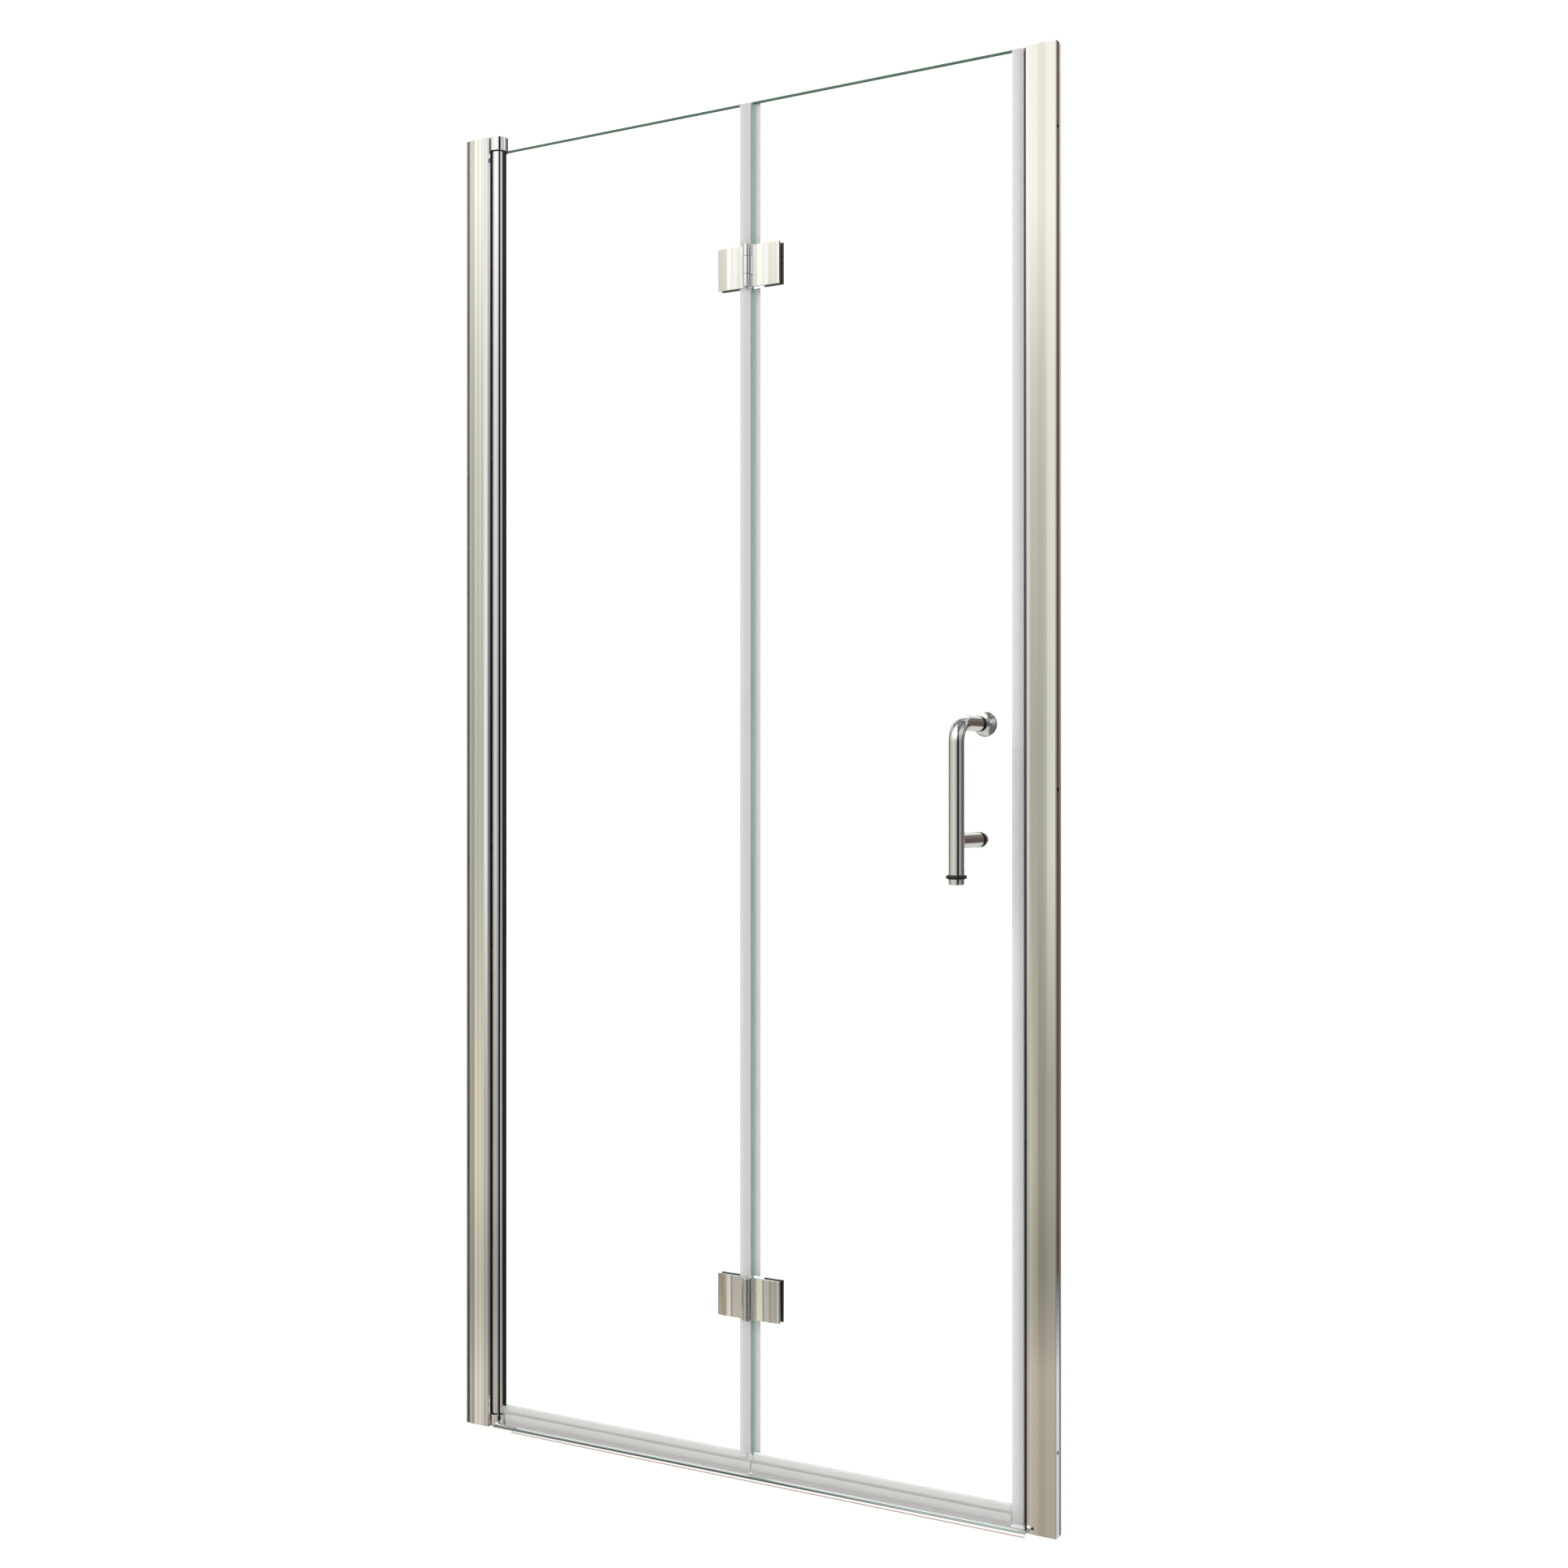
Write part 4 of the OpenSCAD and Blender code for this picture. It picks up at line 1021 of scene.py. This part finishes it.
def blend(fac, a, b):
    n = add(nt, "ShaderNodeMix", {"data_type": "RGBA", "blend_type": "MIX"})
    if isinstance(fac, float):
        n.inputs["Factor"].default_value = fac
    else:
        nt.links.new(fac, n.inputs["Factor"])
    for k, v in ((6, a), (7, b)):
        if isinstance(v, tuple):
            n.inputs[k].default_value = (*v, 1)
        else:
            nt.links.new(v, n.inputs[k])
    return n.outputs[2]


upper = ramp(az.outputs[0], -180, 180, [
    (-180, 0.80), (-130, 0.80), (-105, 0.30), (-76, 0.36), (-57, 0.60), (-46, 0.50), (-41.5, (0.54, 0.54, 0.52)), (-38.5, (0.62, 0.62, 0.60)), (-36.5, (0.80, 0.80, 0.78)),
    (-34.5, 0.86), (-33.2, 0.70), (-32.2, (0.76, 0.76, 0.74)), (-31.2, 0.92), (-29, 0.95), (-24.3, 0.97), (-21.4, 0.76), (-18.7, 0.98), (1, 0.97), (13, 0.93), (30, 0.86),
    (34, 0.60), (36.5, 0.008), (57, 0.008), (61, 0.58), (73, 0.60), (94, 0.42), (104, 0.80), (119, 0.75), (127, 0.20),
    (145, (0.14, 0.115, 0.10)), (172, (0.12, 0.10, 0.085)), (180, 0.2)])
middle = ramp(az.outputs[0], -180, 180, [
    (-180, 0.20), (-107, 0.25), (-84, 0.19), (-66, 0.40), (-50, 0.41), (-43, (0.27, 0.27, 0.25)), (-39.5, (0.27, 0.27, 0.25)), (-37.5, (0.40, 0.39, 0.36)), (-35.5, (0.43, 0.42, 0.39)),
    (-34, 0.40), (-33, 0.84), (-27.2, 0.90), (-26.4, (0.44, 0.435, 0.40)), (-22, (0.375, 0.37, 0.36)), (-20.6, 0.41), (-19.7, 0.45), (-19.1, 0.50), (-18.7, 0.84), (-14, 0.62), (8, 0.48),
    (25, 0.34), (33, 0.20), (36, 0.004), (58, 0.004), (61.5, 0.18), (66, 0.30), (73, 0.36), (86, 0.28), (115, 0.10), (136, 0.11),
    (150, (0.10, 0.07, 0.055)), (180, (0.085, 0.055, 0.04))])
lower = ramp(az.outputs[0], -180, 180, [
    (-180, 0.62), (-130, 0.60), (-108, 0.22), (-84, 0.17), (-57, (0.42, 0.37, 0.32)), (-44, (0.20, 0.165, 0.14)), (-41, (0.33, 0.29, 0.26)),
    (-38, (0.46, 0.43, 0.40)), (-36, (0.62, 0.59, 0.55)), (-34.2, (0.46, 0.42, 0.38)), (-33.2, (0.25, 0.205, 0.175)), (-31.8, (0.34, 0.31, 0.28)),
    (-30.4, (0.62, 0.59, 0.56)), (-28.5, (0.50, 0.47, 0.44)), (-26, (0.60, 0.57, 0.53)), (-24.6, (0.50, 0.48, 0.44)), (-22.5, (0.30, 0.28, 0.26)), (-20, (0.29, 0.268, 0.25)), (-18.7, 0.40),
    (1, (0.48, 0.45, 0.39)), (10, 0.30), (25, 0.25), (33, 0.14), (36.5, 0.008), (56, 0.008),
    (60, 0.46), (66, 0.54), (87, 0.17), (136, 0.10), (150, (0.12, 0.09, 0.075)), (172, (0.10, 0.07, 0.055)), (180, 0.4)])
bottom = ramp(az.outputs[0], -180, 180, [
    (-180, 0.72), (-130, 0.70), (-108, 0.25), (-84, 0.16), (-66, 0.25), (-57, (0.33, 0.30, 0.27)), (-46, (0.50, 0.46, 0.42)), (-41, (0.24, 0.21, 0.19)),
    (-38, (0.46, 0.43, 0.41)), (-36, (0.66, 0.63, 0.61)), (-33.5, (0.44, 0.39, 0.36)), (-31.5, (0.40, 0.35, 0.32)), (-28.5, (0.62, 0.58, 0.55)),
    (-26, (0.58, 0.55, 0.52)), (-24, (0.50, 0.465, 0.43)), (-21.4, (0.38, 0.345, 0.31)), (-18.7, (0.47, 0.435, 0.405)),
    (-12, (0.41, 0.37, 0.33)), (1, (0.51, 0.46, 0.41)), (13, (0.42, 0.38, 0.34)), (20, 0.25), (25, (0.15, 0.115, 0.09)), (33, 0.09), (36.5, 0.01), (56, 0.01),
    (60, 0.42), (73, 0.37), (87, 0.17), (110, 0.14), (130, 0.35), (143, 0.60), (180, 0.72)])
down = ramp(el.outputs[0], -90, 90, [(-90, 1.0), (-17, 1.0), (-14, 0.0), (90, 0.0)])
up = ramp(el.outputs[0], -90, 90, [(-90, 0.0), (-9, 0.0), (-2, 1.0), (90, 1.0)])
top = ramp(el.outputs[0], -90, 90, [(-90, 0.0), (1, 0.0), (9, 0.24), (12, 0.42), (17, 1.0), (90, 1.0)])
ceiling = ramp(el.outputs[0], -90, 90, [(-90, 0.0), (22, 0.0), (27, 0.6), (31, 1.0), (90, 1.0)])
sky = ramp(el.outputs[0], -90, 90, [
    (-90, 1.0), (38, 1.0), (41, 0.42), (45, 0.16), (48, 0.45), (51, 0.75), (53, 0.30), (57, 0.14), (63, 0.22), (66, 0.9), (69, 0.9), (72, 0.25), (90, 0.35)])
over = ramp(az.outputs[0], -180, 180, [
    (-180, 0.9), (-95, 0.9), (-80, 0.45), (-62, 0.55), (-50, 0.95), (35, 1.0), (38.5, 0.04), (56, 0.04), (60, 0.75), (86, 0.6), (110, 0.35), (140, 0.40), (172, 0.42), (180, 0.9)])
band = ramp(el.outputs[0], -90, 90, [(-90, 0.9), (-40, 0.8), (-22, 0.88), (-18.5, 0.95), (-17, 1.0), (-15.8, 0.86), (-14.5, 0.80), (-13, 0.86), (-11.5, 1.0), (90, 1.0)])
walls = blend(top, blend(up, blend(down, lower, bottom), middle), upper)
mul = add(nt, "ShaderNodeMix", {"data_type": "RGBA", "blend_type": "MULTIPLY"})
mul.inputs["Factor"].default_value = 1.0
nt.links.new(walls, mul.inputs[6])
nt.links.new(band, mul.inputs[7])
roof = add(nt, "ShaderNodeMix", {"data_type": "RGBA", "blend_type": "MULTIPLY"})
roof.inputs["Factor"].default_value = 1.0
nt.links.new(sky, roof.inputs[6])
nt.links.new(over, roof.inputs[7])
# The wall behind the left jamb and the one behind the right jamb are not the same: each has its own lights, shadows
# and warmth from the top to the floor. The numbers are shares of 1.4.
west_wall = ramp(el.outputs[0], -90, 90, [(-90, (0.8, 0.8, 0.7)), (0, (0.8, 0.8, 0.7)), (90, (0.9, 0.8, 0.8))])
east_wall = ramp(el.outputs[0], -90, 90, [(-90, (0.7, 0.6, 0.6)), (0, (0.7, 0.7, 0.6)), (90, (0.7, 0.6, 0.6))])
west = ramp(az.outputs[0], -180, 180, [(-180, 0.0), (-78, 0.0), (-66, 1.0), (-34.4, 1.0), (-32.9, 0.0), (180, 0.0)])
east = ramp(az.outputs[0], -180, 180, [(-180, 0.0), (-28.8, 0.0), (-27, 1.0), (-14, 1.0), (-9, 0.0), (180, 0.0)])
light = add(nt, "ShaderNodeMix", {"data_type": "RGBA", "blend_type": "MULTIPLY"})
light.inputs["Factor"].default_value = 1.0
nt.links.new(blend(east, blend(west, (0.714, 0.714, 0.714), west_wall), east_wall), light.inputs[6])
light.inputs[7].default_value = (1.4, 1.4, 1.4, 1)
lit = add(nt, "ShaderNodeMix", {"data_type": "RGBA", "blend_type": "MULTIPLY"})
lit.inputs["Factor"].default_value = 1.0
nt.links.new(mul.outputs[2], lit.inputs[6])
nt.links.new(light.outputs[2], lit.inputs[7])
glow = add(nt, "ShaderNodeMix", {"data_type": "RGBA", "blend_type": "MULTIPLY"})
glow.inputs["Factor"].default_value = 1.0
nt.links.new(lit.outputs[2], glow.inputs[6])
nt.links.new(blend(west, (1.0, 1.0, 1.0), (1.24, 1.24, 1.24)), glow.inputs[7])
side = ramp(az.outputs[0], -180, 180, [(-180, 0.0), (-106, 0.0), (-96, 1.0), (-60, 1.0), (-46, 0.0), (12, 0.0), (32, 1.0), (150, 1.0), (176, 0.0), (180, 0.0)])
high = ramp(el.outputs[0], -90, 90, [(-90, 0.0), (60, 0.0), (64, 1.0), (90, 1.0)])
whole = blend(ceiling, glow.outputs[2], blend(high, blend(side, (1.1, 1.1, 1.1), roof.outputs[2]), roof.outputs[2]))
room = add(nt, "ShaderNodeBackground", Strength=1.13)
nt.links.new(whole, room.inputs["Color"])
white = add(nt, "ShaderNodeBackground", Strength=1.4)
white.inputs["Color"].default_value = (1, 1, 1, 1)
lp = add(nt, "ShaderNodeLightPath")
pick = add(nt, "ShaderNodeMixShader")
nt.links.new(lp.outputs["Is Camera Ray"], pick.inputs[0])
nt.links.new(room.outputs[0], pick.inputs[1])
nt.links.new(white.outputs[0], pick.inputs[2])
nt.links.new(pick.outputs[0], out.inputs["Surface"])

for name, loc, aim, size, power in (("soft_key", (-1.6, -3.4, 3.2), (0.45, 0, 0.9), 2.4, 150), ("soft_fill", (3.4, -1.2, 2.4), (0.45, 0, 0.9), 2.0, 80)):
    light = bpy.data.lights.new(name, "AREA")
    light.shape = "SQUARE"
    light.size = size
    light.energy = power
    lo = bpy.data.objects.new(name, light)
    lo.location = loc
    lo.rotation_euler = (Vector(aim) - Vector(loc)).to_track_quat("-Z", "Y").to_euler()
    lo.visible_glossy = False
    lo.visible_camera = False
    bpy.context.scene.collection.objects.link(lo)

cam_data = bpy.data.cameras.new("camera")
cam_data.lens = 43.975
cam_data.sensor_width = 36.0
cam_data.clip_start = 0.05
cam_data.clip_end = 60.0
cam = bpy.data.objects.new("camera", cam_data)
cam.location = (1.7472, -2.2122, 0.9222)
cam.rotation_euler = (math.radians(90), 0, math.radians(29.12346))
bpy.context.scene.collection.objects.link(cam)
bpy.context.scene.camera = cam

view = bpy.context.scene.view_settings
view.view_transform = "Standard"
view.look = "None"
view.exposure = 0.0
view.gamma = 1.0

lo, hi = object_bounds()
